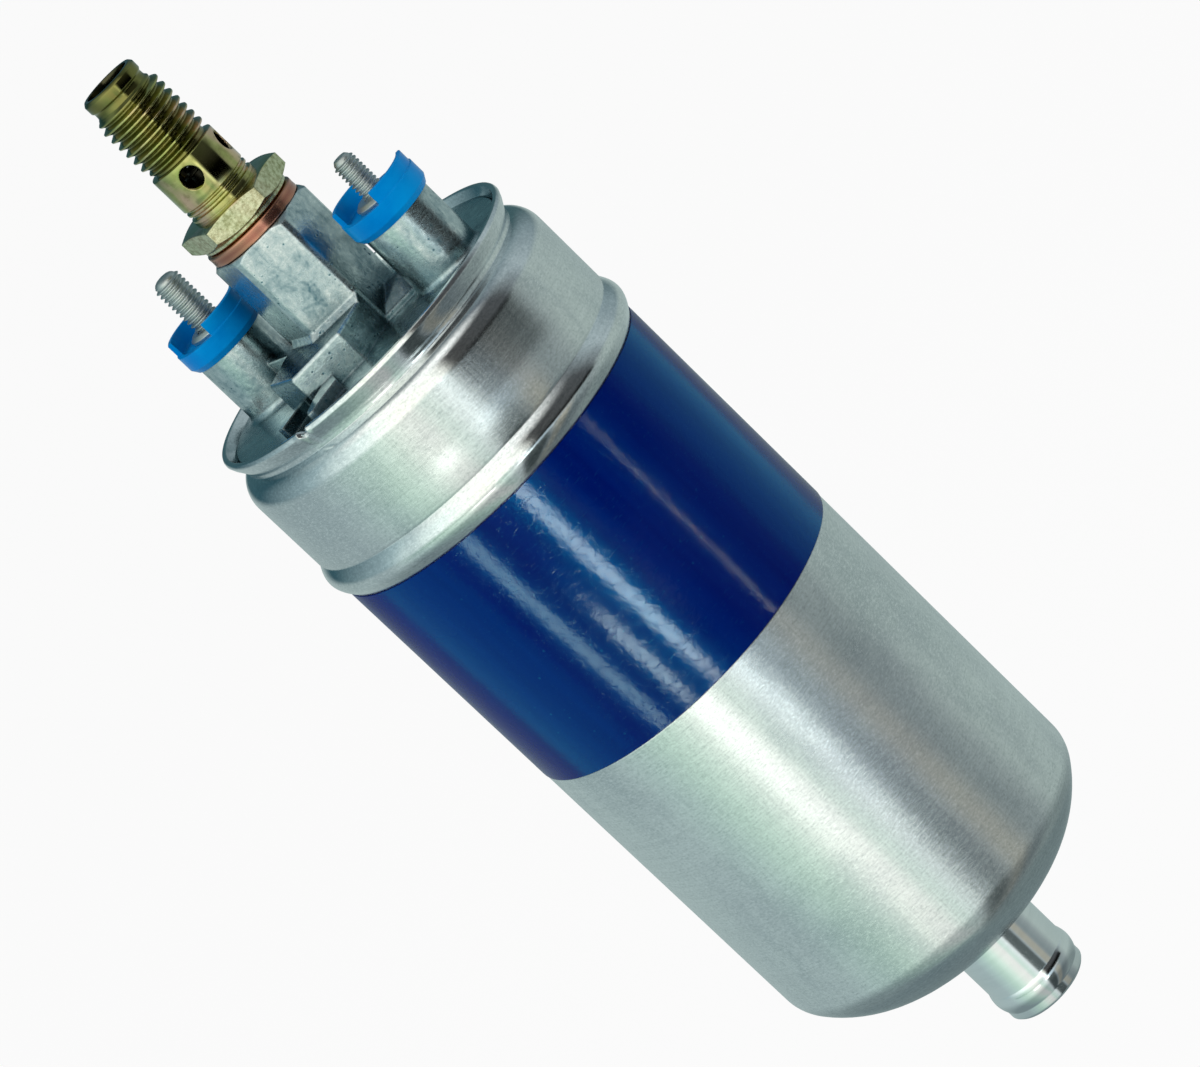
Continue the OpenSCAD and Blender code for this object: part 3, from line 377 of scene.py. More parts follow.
def band_film():
    """Shrunk film: deep blue, faint orange peel under its gloss, with dust and hairlines."""
    tree, shader, coord = start("band_film", IOR=1.15, Specular_Tint=(0.0, 0.6, 1.0, 1.0), Coat_Weight=0.08,
                                Coat_Roughness=0.05, Coat_IOR=1.5)
    marks = use(tree, "hand_scuffs", coord, Amount=0.5)
    streaks = between(tree, use(tree, "drawn_lines", coord, Pitch=2600.0)["Streaks"], 0.0, 1.0, 0.3, 0.7)
    tint = mix(tree, streaks, (0.0, 0.003, 0.088), (0.0, 0.008, 0.112))
    few = between(tree, noise(tree, coord, 90.0), 0.0, 0.6, 0.5, 0.7)
    dust = between(tree, dots(tree, coord, 420.0), 1.0, 0.0, 0.05, 0.12)
    tint = lay(tree, tint, dust, few, (0.006, 0.09, 0.19))
    tint = lay(tree, tint, marks["Scratches"], 0.3, (0.004, 0.06, 0.17))
    peel = noise(tree, stretched(tree, coord, (1.0, 1.0, 1.5)), 560.0, 4.0, 0.66, 0.8)
    skin = bump(tree, times(tree, marks["Scratches"], -0.5, peel), 3.6e-5)
    dress(tree, shader, Base_Color=tint, Normal=skin, Coat_Normal=skin,
          Roughness=between(tree, noise(tree, coord, 60.0), 0.18, 0.3, 0.3, 0.7))


def die_cast():
    """Zinc casting: mottled skin, edges lightened as wear and painted highlight, painted shade in the corners and on
    the block's top.
    """
    tree, shader, coord = start("die_cast", Metallic=1.0)
    skin = use(tree, "cast_skin", coord)
    edges = use(tree, "edge_wear_and_highlight", coord, Width=0.0005)
    marks = use(tree, "hand_scuffs", coord, Amount=0.5)
    corners = use(tree, "painted_corner_shade", coord, Reach=0.0065)
    tint = ramp(tree, skin["Tone"], (0.34, (0.1, 0.19, 0.23)), (0.45, (0.36, 0.46, 0.485)),
                (0.55, (0.52, 0.61, 0.62)), (0.64, (0.74, 0.82, 0.81)))
    # edges lightened: worn and painted highlight
    tint = lay(tree, tint, edges["Mask"], 0.8, (0.82, 0.87, 0.87))
    tint = lay(tree, tint, marks["Scratches"], 0.4, (0.7, 0.74, 0.75))
    # painted shade in the corners, a dark teal
    tint = lay(tree, tint, corners["Mask"], 0.85, (0.035, 0.09, 0.115))
    # painted shade on the upward faces of the block's top
    upward = axes_of(tree, put(tree, "ShaderNodeNewGeometry").outputs["Normal"])[2]
    top_shade = between(tree, upward, 0.0, 0.6, 0.7, 0.95)
    tint = lay(tree, tint, top_shade, at_height(tree, coord, BLOCK_TOP_SHADE_SPAN), (0.06, 0.13, 0.16))
    rough = between(tree, skin["Tone"], 0.36, 0.16, 0.36, 0.6)
    dress(tree, shader, Base_Color=tint, Roughness=times(tree, edges["Mask"], -0.1, rough),
          Normal=bump(tree, skin["Height"], 4.5e-5, edges["Rounded"]))


def yellow_chromate():
    """Passivated zinc: olive with pink and green drifts, paler and grainy on the hexagon, with painted shade in the
    thread roots and the bore.
    """
    tree, shader, coord, tint = metal("yellow_chromate", (0.55, 0.5, 0.22), (0.38, 0.37, 0.14), 0.08,
                                      pitch=5000.0, depth=8e-7, scuffs=0.25, edge=0.00018, spread=0.06)
    rough, under = (shader.inputs[label].links[0].from_socket for label in ("Roughness", "Normal"))
    drift = noise(tree, stretched(tree, coord, (1.0, 1.0, 0.5)), 130.0, 3.0, 0.5, 0.6)
    for mask, colour in ((between(tree, drift, 0.0, 0.8, 0.47, 0.6), (0.8, 0.52, 0.38)),
                         (between(tree, drift, 0.65, 0.0, 0.36, 0.5), (0.3, 0.36, 0.1)),
                         (between(tree, noise(tree, coord, 700.0, 4.0), 0.0, 0.6, 0.5, 0.75), (0.2, 0.17, 0.06))):
        tint = mix(tree, mask, tint, colour)
    radius = from_axis(tree, axes_of(tree, coord))
    # painted shade in the thread roots
    root = between(tree, radius, 0.85, 0.0, 0.0051, 0.0059)
    tint = lay(tree, tint, root, at_height(tree, coord, THREAD_SPAN), (0.17, 0.16, 0.045))
    flats = at_height(tree, coord, HEX_SPAN)
    grain = noise(tree, coord, 1500.0, 4.0, 0.65)
    pale = mix(tree, between(tree, grain, 0.0, 1.0, 0.38, 0.6), (0.32, 0.34, 0.19), (0.68, 0.72, 0.49))
    tint = lay(tree, tint, flats, 0.8, pale)
    # painted shade inside the bore
    bore = between(tree, radius, 0.93, 0.0, 0.0044, 0.0047)
    dress(tree, shader, Base_Color=mix(tree, bore, tint, (0.05, 0.05, 0.03)), Roughness=times(tree, flats, 0.16, rough),
          Normal=bump(tree, times(tree, grain, flats), 2.5e-5, under))


def washer_copper():
    """Rolled copper, with painted shade along the middle of its rim."""
    tree, shader, coord, tint = metal("washer_copper", (0.62, 0.31, 0.21), (0.42, 0.18, 0.12), 0.22,
                                      pitch=5000.0, edge=0.00012)
    # painted shade along the middle of the rim
    middle = at_height(tree, coord, WASHER_SHADE_BAND, blur=0.0003)
    dress(tree, shader, Base_Color=lay(tree, tint, middle, 0.7, (0.34, 0.13, 0.1)))


def moulded(name, colour, dark, rough, grain=900.0, depth=3e-6, edge=0.00025, edge_colour=None, speck=None,
            tinge=(1.0, 1.0, 1.0, 1.0), ior=1.48):
    """Injection-moulded plastic, rubber, resin or pressed powder."""
    tree, shader, coord = start(name, IOR=ior, Specular_Tint=tinge)
    edges = use(tree, "edge_wear_and_highlight", coord, Width=edge)
    marks = use(tree, "hand_scuffs", coord, Amount=0.35)
    broad = noise(tree, coord, 150.0, 3.0)
    light = edge_colour or tuple(min(1.0, c * 1.25 + 0.01) for c in colour)
    tint = mix(tree, between(tree, broad, 0.0, 1.0, 0.35, 0.65), dark, colour)
    # edges lightened: worn and painted highlight
    tint = lay(tree, tint, edges["Mask"], 0.6, light)
    tint = lay(tree, tint, marks["Scratches"], 0.3, light)
    if speck:
        tint = mix(tree, between(tree, dots(tree, coord, 1800.0), 0.5, 0.0, 0.1, 0.25), tint, speck)
    high = times(tree, marks["Scratches"], -0.4, noise(tree, coord, grain, 4.0))
    dress(tree, shader, Base_Color=tint, Roughness=between(tree, broad, rough - 0.05, rough + 0.05, 0.3, 0.7),
          Normal=bump(tree, high, depth, edges["Rounded"]))


def winding_wire():
    """Enamelled wire, laid side by side."""
    tree, shader, coord = start("copper", Metallic=0.9, Coat_Weight=0.6, Coat_Roughness=0.1)
    wave = put(tree, "ShaderNodeTexWave", {"Vector": coord, "Scale": 420.0, "Distortion": 1.5, "Detail": 2.0},
               wave_type="RINGS", rings_direction="Z").outputs["Fac"]
    tint = mix(tree, wave, (0.30, 0.12, 0.05), (0.66, 0.33, 0.18))
    tint = mix(tree, between(tree, noise(tree, coord, 300.0), 0.0, 0.5, 0.4, 0.7), tint, (0.4, 0.19, 0.1))
    dress(tree, shader, Base_Color=tint, Normal=bump(tree, wave, 1e-4),
          Roughness=between(tree, noise(tree, coord, 90.0), 0.25, 0.4, 0.3, 0.7))


can_aluminium()
band_film()
metal("zinc_plate", (0.82, 0.86, 0.86), (0.76, 0.8, 0.8), 0.13, pitch=4200.0, depth=1.5e-6, edge=0.0002, spread=0.06)
die_cast()
yellow_chromate()
winding_wire()
metal("stud_steel", (0.64, 0.68, 0.67), (0.46, 0.5, 0.49), 0.42, pitch=6000.0, scuffs=0.5, edge=0.0001, spread=0.08)
moulded("cap_plastic", (0.001, 0.23, 0.58), (0.0, 0.17, 0.5), 0.22, 700.0, 2e-6, 0.0002, (0.01, 0.3, 0.7),
        tinge=(0.0, 0.5, 1.0, 1.0), ior=1.22)
moulded("ivory_plastic", (0.86, 0.83, 0.72), (0.78, 0.75, 0.63), 0.5)
moulded("dark_plastic", (0.03, 0.03, 0.033), (0.02, 0.02, 0.022), 0.45, 1200.0, 8e-6)
moulded("brown_resin", (0.19, 0.085, 0.045), (0.13, 0.055, 0.03), 0.4, 900.0, 6e-6)
moulded("rubber", (0.022, 0.022, 0.022), (0.014, 0.014, 0.014), 0.6, 1600.0, 1e-5)
moulded("bronze", (0.55, 0.38, 0.2), (0.42, 0.28, 0.14), 0.5, 2600.0, 1.5e-5, speck=(0.16, 0.1, 0.05))
metal("brass_strip", (0.78, 0.6, 0.28), (0.62, 0.46, 0.2), 0.28, "drawn_lines")
metal("soft_steel", (0.42, 0.43, 0.45), (0.33, 0.34, 0.36), 0.4, pitch=3000.0, depth=4e-6, scuffs=0.3)
metal("ground_steel", (0.62, 0.63, 0.65), (0.54, 0.55, 0.57), 0.22, pitch=7000.0, depth=1e-6, scuffs=0.2)
metal("spring_steel", (0.5, 0.51, 0.53), (0.4, 0.41, 0.43), 0.3, "drawn_lines")
moulded("ferrite", (0.055, 0.055, 0.06), (0.035, 0.035, 0.04), 0.6, 1500.0, 1.2e-5, speck=(0.02, 0.02, 0.02))
moulded("carbon", (0.045, 0.043, 0.045), (0.03, 0.03, 0.032), 0.5, 2400.0, 1e-5, speck=(0.25, 0.13, 0.07))
moulded("washer_plastic", (0.8, 0.8, 0.76), (0.7, 0.7, 0.66), 0.5)
washer_copper()
# nearly black steel: painted shade for the parts inside the valve
metal("painted_shade_steel", (0.05, 0.05, 0.04), (0.03, 0.03, 0.022), 0.45)


# ---------------------------------------------------------------- pieces

# A length too small to round, and the bend in degrees past which a corner stays
TINY, NEARLY_STRAIGHT = 1e-6, 168.0


def arc(cr, cz, radius, a0, a1, n):
    return [(cr + radius * math.cos(math.radians(a0 + (a1 - a0) * i / n)),
             cz + radius * math.sin(math.radians(a0 + (a1 - a0) * i / n))) for i in range(n + 1)]


def soften(points, default=0.15, n=3):
    """Rounds each corner of a closed outline; a third number in a point is its own radius."""
    result = []
    for i, point in enumerate(points):
        radius = point[2] if len(point) > 2 else default
        here = Vector(point[:2])
        back, ahead = Vector(points[i - 1][:2]) - here, Vector(points[(i + 1) % len(points)][:2]) - here
        sharp = radius <= 0 or point[0] < TINY or back.length < TINY or ahead.length < TINY
        if sharp or back.angle(ahead) > math.radians(NEARLY_STRAIGHT):
            result.append(tuple(here))
            continue
        cut = min(radius / math.tan(back.angle(ahead) / 2), 0.42 * back.length, 0.42 * ahead.length)
        first, last = here + back.normalized() * cut, here + ahead.normalized() * cut
        for k in range(n + 1):
            t = k / n
            result.append(tuple(first * (1 - t) ** 2 + here * 2 * t * (1 - t) + last * t ** 2))
    return result


def soften_open(points):
    """Rounds the corners of an open outline: a guide point beyond each end is left out again."""
    outline = soften([(9.0, 0.0, 0.0)] + points + [(9.0, 9.0, 0.0)])
    return [point for point in outline if point[0] < 8.9]


def finish_mesh(bm, name, material, crease=32.0):
    """Welds, smooths and dresses what bm holds, with sharp edges where it bends by more than crease."""
    bmesh.ops.remove_doubles(bm, verts=bm.verts, dist=4e-7)
    bmesh.ops.dissolve_degenerate(bm, edges=bm.edges, dist=1e-8)
    bmesh.ops.recalc_face_normals(bm, faces=bm.faces)
    for face in bm.faces:
        face.smooth = True
    for edge in bm.edges:
        edge.smooth = len(edge.link_faces) == 2 and edge.calc_face_angle(0.0) < math.radians(crease)
    mesh = bpy.data.meshes.new(name)
    bm.to_mesh(mesh)
    bm.free()
    mesh.materials.append(material)
    return mesh


def revolve(bm, outline, segments=192, phase=0.0, closed=True, shape=None, place=(0.0, 0.0)):
    """Revolves an outline in millimetres about Z. shape(angle, number, r, z) may move a point."""
    columns = []
    for step in range(segments):
        angle = phase + 2 * math.pi * step / segments
        column = []
        for number, (r, z) in enumerate(outline):
            if r < TINY and columns:
                column.append(columns[0][number])
                continue
            if shape:
                r, z = shape(angle, number, r, z)
            x, y = place[0] + r * math.cos(angle), place[1] + r * math.sin(angle)
            column.append(bm.verts.new((MM * x, MM * y, MM * z)))
        columns.append(column)
    spans = len(outline) if closed else len(outline) - 1
    for step in range(segments):
        a, b = columns[step], columns[(step + 1) % segments]
        for number in range(spans):
            after = (number + 1) % len(outline)
            corners = list(dict.fromkeys((a[number], b[number], b[after], a[after])))
            if len(corners) > 2:
                bm.faces.new(corners)


def linked(name, data):
    """A new object in the scene."""
    thing = bpy.data.objects.new(name, data)
    bpy.context.scene.collection.objects.link(thing)
    return thing


def baked(thing):
    """The mesh of an object with its modifiers applied."""
    bpy.context.view_layer.update()
    return bpy.data.meshes.new_from_object(thing.evaluated_get(bpy.context.evaluated_depsgraph_get()))


def piece(name, node, slot, bm, crease=32.0, finish=None):
    """Puts what bm holds in the place of a node, in its slot's finish unless another is named."""
    thing = linked(name, finish_mesh(bm, name, FINISH[finish or slot], crease))
    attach(thing, "housing")
    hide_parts(node)
    return thing


def turned_piece(name, node, slot, outline, segments=192, crease=32.0, finish=None, **shaping):
    bm = bmesh.new()
    revolve(bm, outline, segments, **shaping)
    piece(name, node, slot, bm, crease, finish)


def at_terminal(sign):
    """sign 1 is the smaller terminal, -1 the larger one."""
    turn = math.radians(TOWER_TURN)
    return sign * TOWER_R * math.cos(turn), sign * TOWER_R * math.sin(turn)


# Can

# The shoulder's sweep in degrees, a height on the collar, and the step under the band
SHOULDER_TURN, Z_COLLAR, SINK = 76, 82.0, 0.15
# The lip's notch: its azimuth, the rim's length for a degree, and how far it reaches to each side
NOTCH_TURN, MM_PER_DEGREE, NOTCH_REACH = -126, 0.506, 3.5


def can_outline(w):
    """The can's outside, from the dome to the lip, pulled in by w."""
    knuckle_cr = CAN_R - KNUCKLE_R
    ka = math.radians(KNUCKLE_ANGLE)
    dome_cr = knuckle_cr - (DOME_R - KNUCKLE_R) * math.cos(ka)
    dome_cz = Z_KNUCKLE + (DOME_R - KNUCKLE_R) * math.sin(ka)
    line = [(NIPPLE_R + 0.05, dome_cz - DOME_R + w)]
    line += arc(dome_cr, dome_cz, DOME_R - w, -90, -KNUCKLE_ANGLE, 18)
    line += arc(knuckle_cr, Z_KNUCKLE, KNUCKLE_R - w, -KNUCKLE_ANGLE, 0, 12)[1:]
    if w == 0:
        line += [(CAN_R, 0.0), (CAN_R, Z_BAND0 - 0.1), (CAN_R - SINK, Z_BAND0 + 0.03),
                 (CAN_R - SINK, Z_BAND1 - 0.03), (CAN_R, Z_BAND1 + 0.08)]
    else:
        line += [(CAN_R - w, Z_BAND1)]
    for i in range(17):
        bulge = BEAD_RISE * math.sin(math.pi * i / 16) + 0.05 * i / 16
        line.append((CAN_R + bulge - w, Z_BEAD0 + BEAD_W * i / 16))
    line += [(COLLAR_R - w, Z_BEAD0 + BEAD_W + 0.5), (COLLAR_R - w, Z_COLLAR)]
    end = math.radians(SHOULDER_TURN)
    for i in range(13):
        a = math.radians(SHOULDER_TURN * i / 12)
        share = (math.cos(a) - math.cos(end)) / (1 - math.cos(end))
        line.append((NECK_R + (COLLAR_R - NECK_R) * share - w,
                     Z_SHOULDER + (SHOULDER_H - 0.5) * math.sin(a) / math.sin(end)))
    return line + [(NECK_R - w, Z_NECK), (NECK_R + 0.12 - w, Z_NECK + 0.45)]


def lip_notch(angle, number, r, z):
    """The crimping tool's dent in the lip, with a fold on either side."""
    turn = angle - math.radians(NOTCH_TURN)
    away = math.degrees(math.atan2(math.sin(turn), math.cos(turn))) * MM_PER_DEGREE
    if z < Z_NECK + 0.3 or abs(away) > NOTCH_REACH:
        return r, z
    rise = (z - Z_NECK) / (Z_LIP - Z_NECK)
    dent = math.exp(-(away / 0.62) ** 4)
    fold = math.exp(-((abs(away) - 1.1) / 0.32) ** 2)
    return r - rise * (0.75 * dent - 0.16 * fold), z - rise * (0.85 * dent - 0.1 * fold)


def make_can():
    outer = can_outline(0.0) + [(LIP_R - 0.35, Z_LIP - 1.6), (LIP_R, Z_LIP - 0.75), (LIP_R - 0.04, Z_LIP - 0.35),
                                (LIP_R - 0.2, Z_LIP - 0.08), (LIP_R - 0.42, Z_LIP)]
    inner = can_outline(CAN_WALL) + [(LIP_R - CAN_WALL + 0.1, Z_LIP - 0.7), (LIP_R - 0.95, Z_LIP - 0.12),
                                     (LIP_R - 0.75, Z_LIP)]
    turned_piece("can_shell", "can", "can_aluminium", outer + inner[::-1], 512, 28, shape=lip_notch)


def make_band():
    inner, outer, low, high = CAN_R - 0.12, CAN_R + 0.13, Z_BAND0 + 0.05, Z_BAND1 - 0.05
    outline = soften([(inner, low, 0), (outer, low, 0.08), (outer, high, 0.08), (inner, high, 0)])
    turned_piece("band_wrap", "band_sleeve", "band_film", outline, 288)


def make_nipple():
    z_base = Z_KNUCKLE + (DOME_R - KNUCKLE_R) * math.sin(math.radians(KNUCKLE_ANGLE)) - DOME_R
    z_tip, z_floor = z_base - NIPPLE_LEN, z_base + CAN_WALL
    half, neck, flange = 1.95, NIPPLE_R - 0.1, NIPPLE_R + 1.3
    z_bead = z_tip + LAND + half
    outline = [(NIPPLE_BORE, z_floor + 1.23, 0), (NIPPLE_BORE, z_tip + 0.35), (NIPPLE_BORE + 0.35, z_tip, 0.2),
               (NIPPLE_R - 0.55, z_tip, 0.3), (neck, z_tip + 0.5, 0.3), (neck, z_bead - half, 0.3)]
    for i in range(1, 14):
        swell = (HOSE_BEAD_R - NIPPLE_R) * math.sin(math.pi * i / 14) ** 0.8 - 0.1 * (1 - i / 14)
        outline.append((NIPPLE_R + swell, z_bead + half * (2 * i / 14 - 1), 0))
    outline += [(NIPPLE_R, z_bead + half, 0.3), (NIPPLE_R, z_base - 0.25, 0.1), (NIPPLE_R, z_floor + 0.03, 0),
                (flange, z_floor + 0.03, 0), (flange, z_floor + 1.23, 0)]
    turned_piece("hose_nipple", "inlet_nipple", "zinc_plate", soften(outline))


def make_copper_washer():
    bore, rim, low, high = 5.3, 8.5, Z_BOSS + 0.02, Z_VALVE - 0.02
    outline = soften([(bore, low, 0.1), (rim, low, 0.35), (rim - 0.06, Z_BOSS + 1.0, 1.0), (rim, high, 0.35),
                      (bore, high, 0.1)], n=5)
    turned_piece("sealing_washer", "copper_washer", "copper", outline, finish="washer_copper")


def make_springs():
    """Each spring's mesh is copied into a piece of its own."""
    for node, (joint, fixed_z, travel) in SPRINGS.items():
        bm = bmesh.new()
        bm.from_mesh(frame["nodes"][node].data)
        # the valve's spring gets the steel painted dark as shade
        coil = piece(node + "_coil", node, "spring_steel", bm, 50.0, "painted_shade_steel" if node in INNER_SHADE_NODES else None)
        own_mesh(coil)


def make_foot_discs():
    """The discs under the terminals' nuts, their rims slightly uneven."""
    for name, node, sign, bore in (("foot_disc_m5", "washer_m5", -1, 2.47), ("foot_disc_m4", "washer_m4", 1, 1.97)):
        def uneven(angle, number, r, z):
            wave = math.sin(3 * angle + sign) + 0.6 * math.sin(5 * angle + 2 * sign)
            return (r + 0.05 * wave, z) if r > 3.0 else (r, z)
        low = Z_CAP_FLOOR + 0.02
        outline = soften([(bore, low, 0), (3.9, low, 0.1), (4.0, Z_CAP_FLOOR + 0.6, 0.15), (3.35, Z_FOOT, 0.15),
                          (bore + 0.15, Z_FOOT, 0.1), (bore, Z_FOOT - 0.15, 0)])
        turned_piece(name, node, "stud_steel", outline, 96, place=at_terminal(sign), shape=uneven)


# Threads

STUD_SEGMENTS, ROWS_PER_PITCH = 80, 26


def rolled_thread_tree():
    """Builds a band of right-hand thread that runs out into the root at both ends."""
    tree = bpy.data.node_groups.new("rolled_thread", "GeometryNodeTree")
    kinds = {"Around": "NodeSocketInt", "Along": "NodeSocketInt", "Metal": "NodeSocketMaterial"}
    for label in ("Root radius", "Crest height", "Pitch", "Bottom", "Top", "Run-out", "Start", "Around", "Along",
                  "Metal"):
        tree.interface.new_socket(label, in_out="INPUT", socket_type=kinds.get(label, "NodeSocketFloat"))
    tree.interface.new_socket("Geometry", in_out="OUTPUT", socket_type="NodeSocketGeometry")
    ins = tree.nodes.new("NodeGroupInput").outputs
    grid = put(tree, "GeometryNodeMeshGrid", {"Size X": 1.0, "Size Y": 1.0, "Vertices Y": ins["Along"],
                                              "Vertices X": maths(tree, "ADD", ins["Around"], 1.0)})
    place = axes_of(tree, tree.nodes.new("GeometryNodeInputPosition").outputs[0])
    u, v = maths(tree, "ADD", place[0], 0.5), maths(tree, "ADD", place[1], 0.5)
    z = times(tree, v, maths(tree, "SUBTRACT", ins["Top"], ins["Bottom"]), ins["Bottom"])
    angle = times(tree, u, 2 * math.pi, ins["Start"])
    turns = maths(tree, "SUBTRACT", maths(tree, "DIVIDE", z, ins["Pitch"]), u)
    wave = maths(tree, "FRACT", maths(tree, "ADD", turns, 1000.0))
    tooth = between(tree, maths(tree, "ABSOLUTE", times(tree, wave, 2.0, -1.0)), 0.0, 1.0, 0.14, 0.84)
    ends = maths(tree, "MINIMUM", maths(tree, "SUBTRACT", z, ins["Bottom"]), maths(tree, "SUBTRACT", ins["Top"], z))
    ends = maths(tree, "DIVIDE", ends, ins["Run-out"], clamp=True)
    r = times(tree, times(tree, tooth, ends), ins["Crest height"], ins["Root radius"])
    x, y = (times(tree, r, maths(tree, part, angle)) for part in ("COSINE", "SINE"))
    spot = put(tree, "ShaderNodeCombineXYZ", {0: x, 1: y, 2: z}).outputs[0]
    moved = put(tree, "GeometryNodeSetPosition", {"Geometry": grid.outputs["Mesh"], "Position": spot})
    real = put(tree, "GeometryNodeRealizeInstances", {"Geometry": moved.outputs[0]})
    dressed = put(tree, "GeometryNodeSetMaterial", {"Geometry": real.outputs[0], "Material": ins["Metal"]})
    tree.links.new(dressed.outputs[0], tree.nodes.new("NodeGroupOutput").inputs[0])
    return tree


THREAD_TREE = rolled_thread_tree()


def thread_band(bm, material, root, crest, pitch, bottom, top, run_out, start, around, along, place=(0.0, 0.0)):
    """Adds a baked thread to bm; sizes in millimetres and radians."""
    holder = linked("thread_bench", bpy.data.meshes.new("thread_bench"))
    modifier = holder.modifiers.new("thread", "NODES")
    modifier.node_group = THREAD_TREE
    values = {"Root radius": root * MM, "Crest height": (crest - root) * MM, "Pitch": pitch * MM,
              "Bottom": bottom * MM, "Top": top * MM, "Run-out": run_out * MM, "Start": start, "Around": around,
              "Along": along, "Metal": material}
    for item in THREAD_TREE.interface.items_tree:
        if item.item_type == "SOCKET" and item.in_out == "INPUT":
            modifier[item.identifier] = values[item.name]
    mesh = baked(holder)
    holder.modifiers.remove(modifier)
    bpy.data.objects.remove(holder)
    mesh.transform(Matrix.Translation(Vector((*place, 0.0)) * MM))
    bm.from_mesh(mesh)
    bpy.data.meshes.remove(mesh)


def make_studs():
    """Each stud: its rivet head, its plain shank, its thread and its end, domed or flat."""
    for name, node, sign, crest, root, pitch, height, domed in (
            ("threaded_stud_m5", "stud_m5", -1, 2.42, 1.95, 0.8, 25.5, True),
            ("threaded_stud_m4", "stud_m4", 1, 1.92, 1.5, 0.7, 22.8, False)):
        place, top = at_terminal(sign), Z_DECK + height
        low, high = Z_CAP_FLOOR + 0.4, top - (0.75 if domed else 0.55)
        bm = bmesh.new()
        revolve(bm, [(0, Z_RIVET), (3.1, Z_RIVET), (3.4, Z_RIVET + 0.3), (3.4, Z_CONTACT - 0.04),
                     (root, Z_CONTACT - 0.04), (root, low)], STUD_SEGMENTS, closed=False, place=place)
        if domed:
            end = [(root, high), (root - 0.12, high + 0.2), (root - 0.35, high + 0.42), (root - 0.75, high + 0.6),
                   (root - 1.3, high + 0.71), (0, top)]
        else:
            end = [(root, high), (root - 0.05, high + 0.12), (root - 0.28, high + 0.42), (root - 0.4, top), (0, top)]
        revolve(bm, end, STUD_SEGMENTS, closed=False, place=place)
        thread_band(bm, FINISH["stud_steel"], root, crest, pitch, low, high, run_out=0.5 * pitch, start=0.0,
                    around=STUD_SEGMENTS, along=int(ROWS_PER_PITCH * (high - low) / pitch), place=place)
        piece(name, node, "stud_steel", bm, 50)


# Check valve

VALVE_BOTTOM, VALVE_BORE, VALVE_ROOT, VALVE_PITCH, VALVE_SEGMENTS = Z_VALVE - 16, 2.2, 4.98, 1.5, 192
# Radii where the hexagon's chamfers begin
HEX_LOW, HEX_HIGH = HEX_AF / 2 - 0.2, HEX_AF / 2 - 0.15


def valve_shape(first):
    """Moves the two points after number first out to the hexagon, chamfered below and above."""
    corner = HEX_AF / 2 / math.cos(math.radians(30))

    def shape(angle, number, r, z):
        if not first < number < first + 3:
            return r, z
        part = (math.degrees(angle) - HEX_TURN + 30) % 60 - 30
        wide = HEX_AF / 2 / math.cos(math.radians(30 - abs(part)))
        if number == first + 1:
            return wide, Z_HEX + 0.9 * max(0.0, wide - HEX_LOW) / (corner - HEX_LOW)
        return wide, Z_HEX1 - 0.55 * max(0.0, wide - HEX_HIGH) / (corner - HEX_HIGH)
    return shape


def valve_outlines(low, high):
    """The valve's outside below its hexagon and from there to the thread, and its nose with the bore."""
    b, z = VALVE_BOTTOM, Z_HEX1
    under = soften([(VALVE_BORE, b + 0.2, 0.1), (4.2, b + 0.2, 0.1), (5.0, b + 1, 0.2), (5.0, Z_VALVE, 0),
                    (7.75, Z_VALVE, 0.1), (8.2, Z_VALVE + 0.35, 0.2), (8.2, Z_HEX - 0.01, 0.05)])
    over = soften_open([(6.06, z, 0.05), (6.06, z + 0.95, 0.15), (5.55, z + 1.15, 0.12), (5.5, z + 1.5, 0.1),
                        (5.95, z + 1.7, 0.08), (5.95, z + 2.1, 0.08), (5.55, z + 2.25, 0.1),
                        (5.55, Z_BANJO - 0.2, 0.1), (BANJO_R, Z_BANJO, 0.12), (BANJO_R, Z_BANJO + 6.5, 0.2),
                        (5.05, Z_THREAD - 0.25, 0.1), (VALVE_ROOT, low, 0)])
    nose = soften_open([(VALVE_ROOT, high, 0), (4.75, Z_NOSE + 0.05, 0.1), (NOSE_R - 0.28, Z_NOSE + 0.35, 0.2),
                        (NOSE_R - 0.3, Z_NOSE + 1.0, 0.3), (NOSE_R - 0.02, Z_NOSE + 1.35, 0.2),
                        (NOSE_R, Z_TOP - 0.5, 0.2), (NOSE_R - 0.4, Z_TOP, 0.2), (3.95, Z_TOP, 0.1),
                        (3.9, Z_TOP - 4, 0.0), (3.6, Z_TOP - 4, 0), (3.6, 123.3, 0.05), (VALVE_BORE, 121.9, 0.05),
                        (VALVE_BORE, b + 0.2, 0)])
    return under[1:], over, nose


def bore_ports(shell, metal_here):
    """Cuts the four radial ports, their mouths slightly opened."""
    drill = bmesh.new()
    revolve(drill, [(0, 3.0), (PORT_R, 3.0), (PORT_R, 5.62), (PORT_R + 0.35, 6.05), (PORT_R + 0.35, 7.0), (0, 7.0)],
            64, closed=False)
    bit = finish_mesh(drill, "drill", metal_here, 30)
    blank = linked("valve_blank", shell)
    tools = []
    for number in range(4):
        tool = linked("drill", bit)
        turn = Matrix.Rotation(math.radians(PORT_TURN + 90 * number), 4, "Z")
        tool.matrix_world = (Matrix.Translation((0, 0, Z_PORT * MM)) @ turn
                             @ Matrix.Rotation(math.radians(90), 4, "Y"))
        cut = blank.modifiers.new("port", "BOOLEAN")
        cut.operation, cut.solver, cut.object = "DIFFERENCE", "EXACT", tool
        tools.append(tool)
    bored = baked(blank)
    for tool in tools + [blank]:
        bpy.data.objects.remove(tool)
    return bored


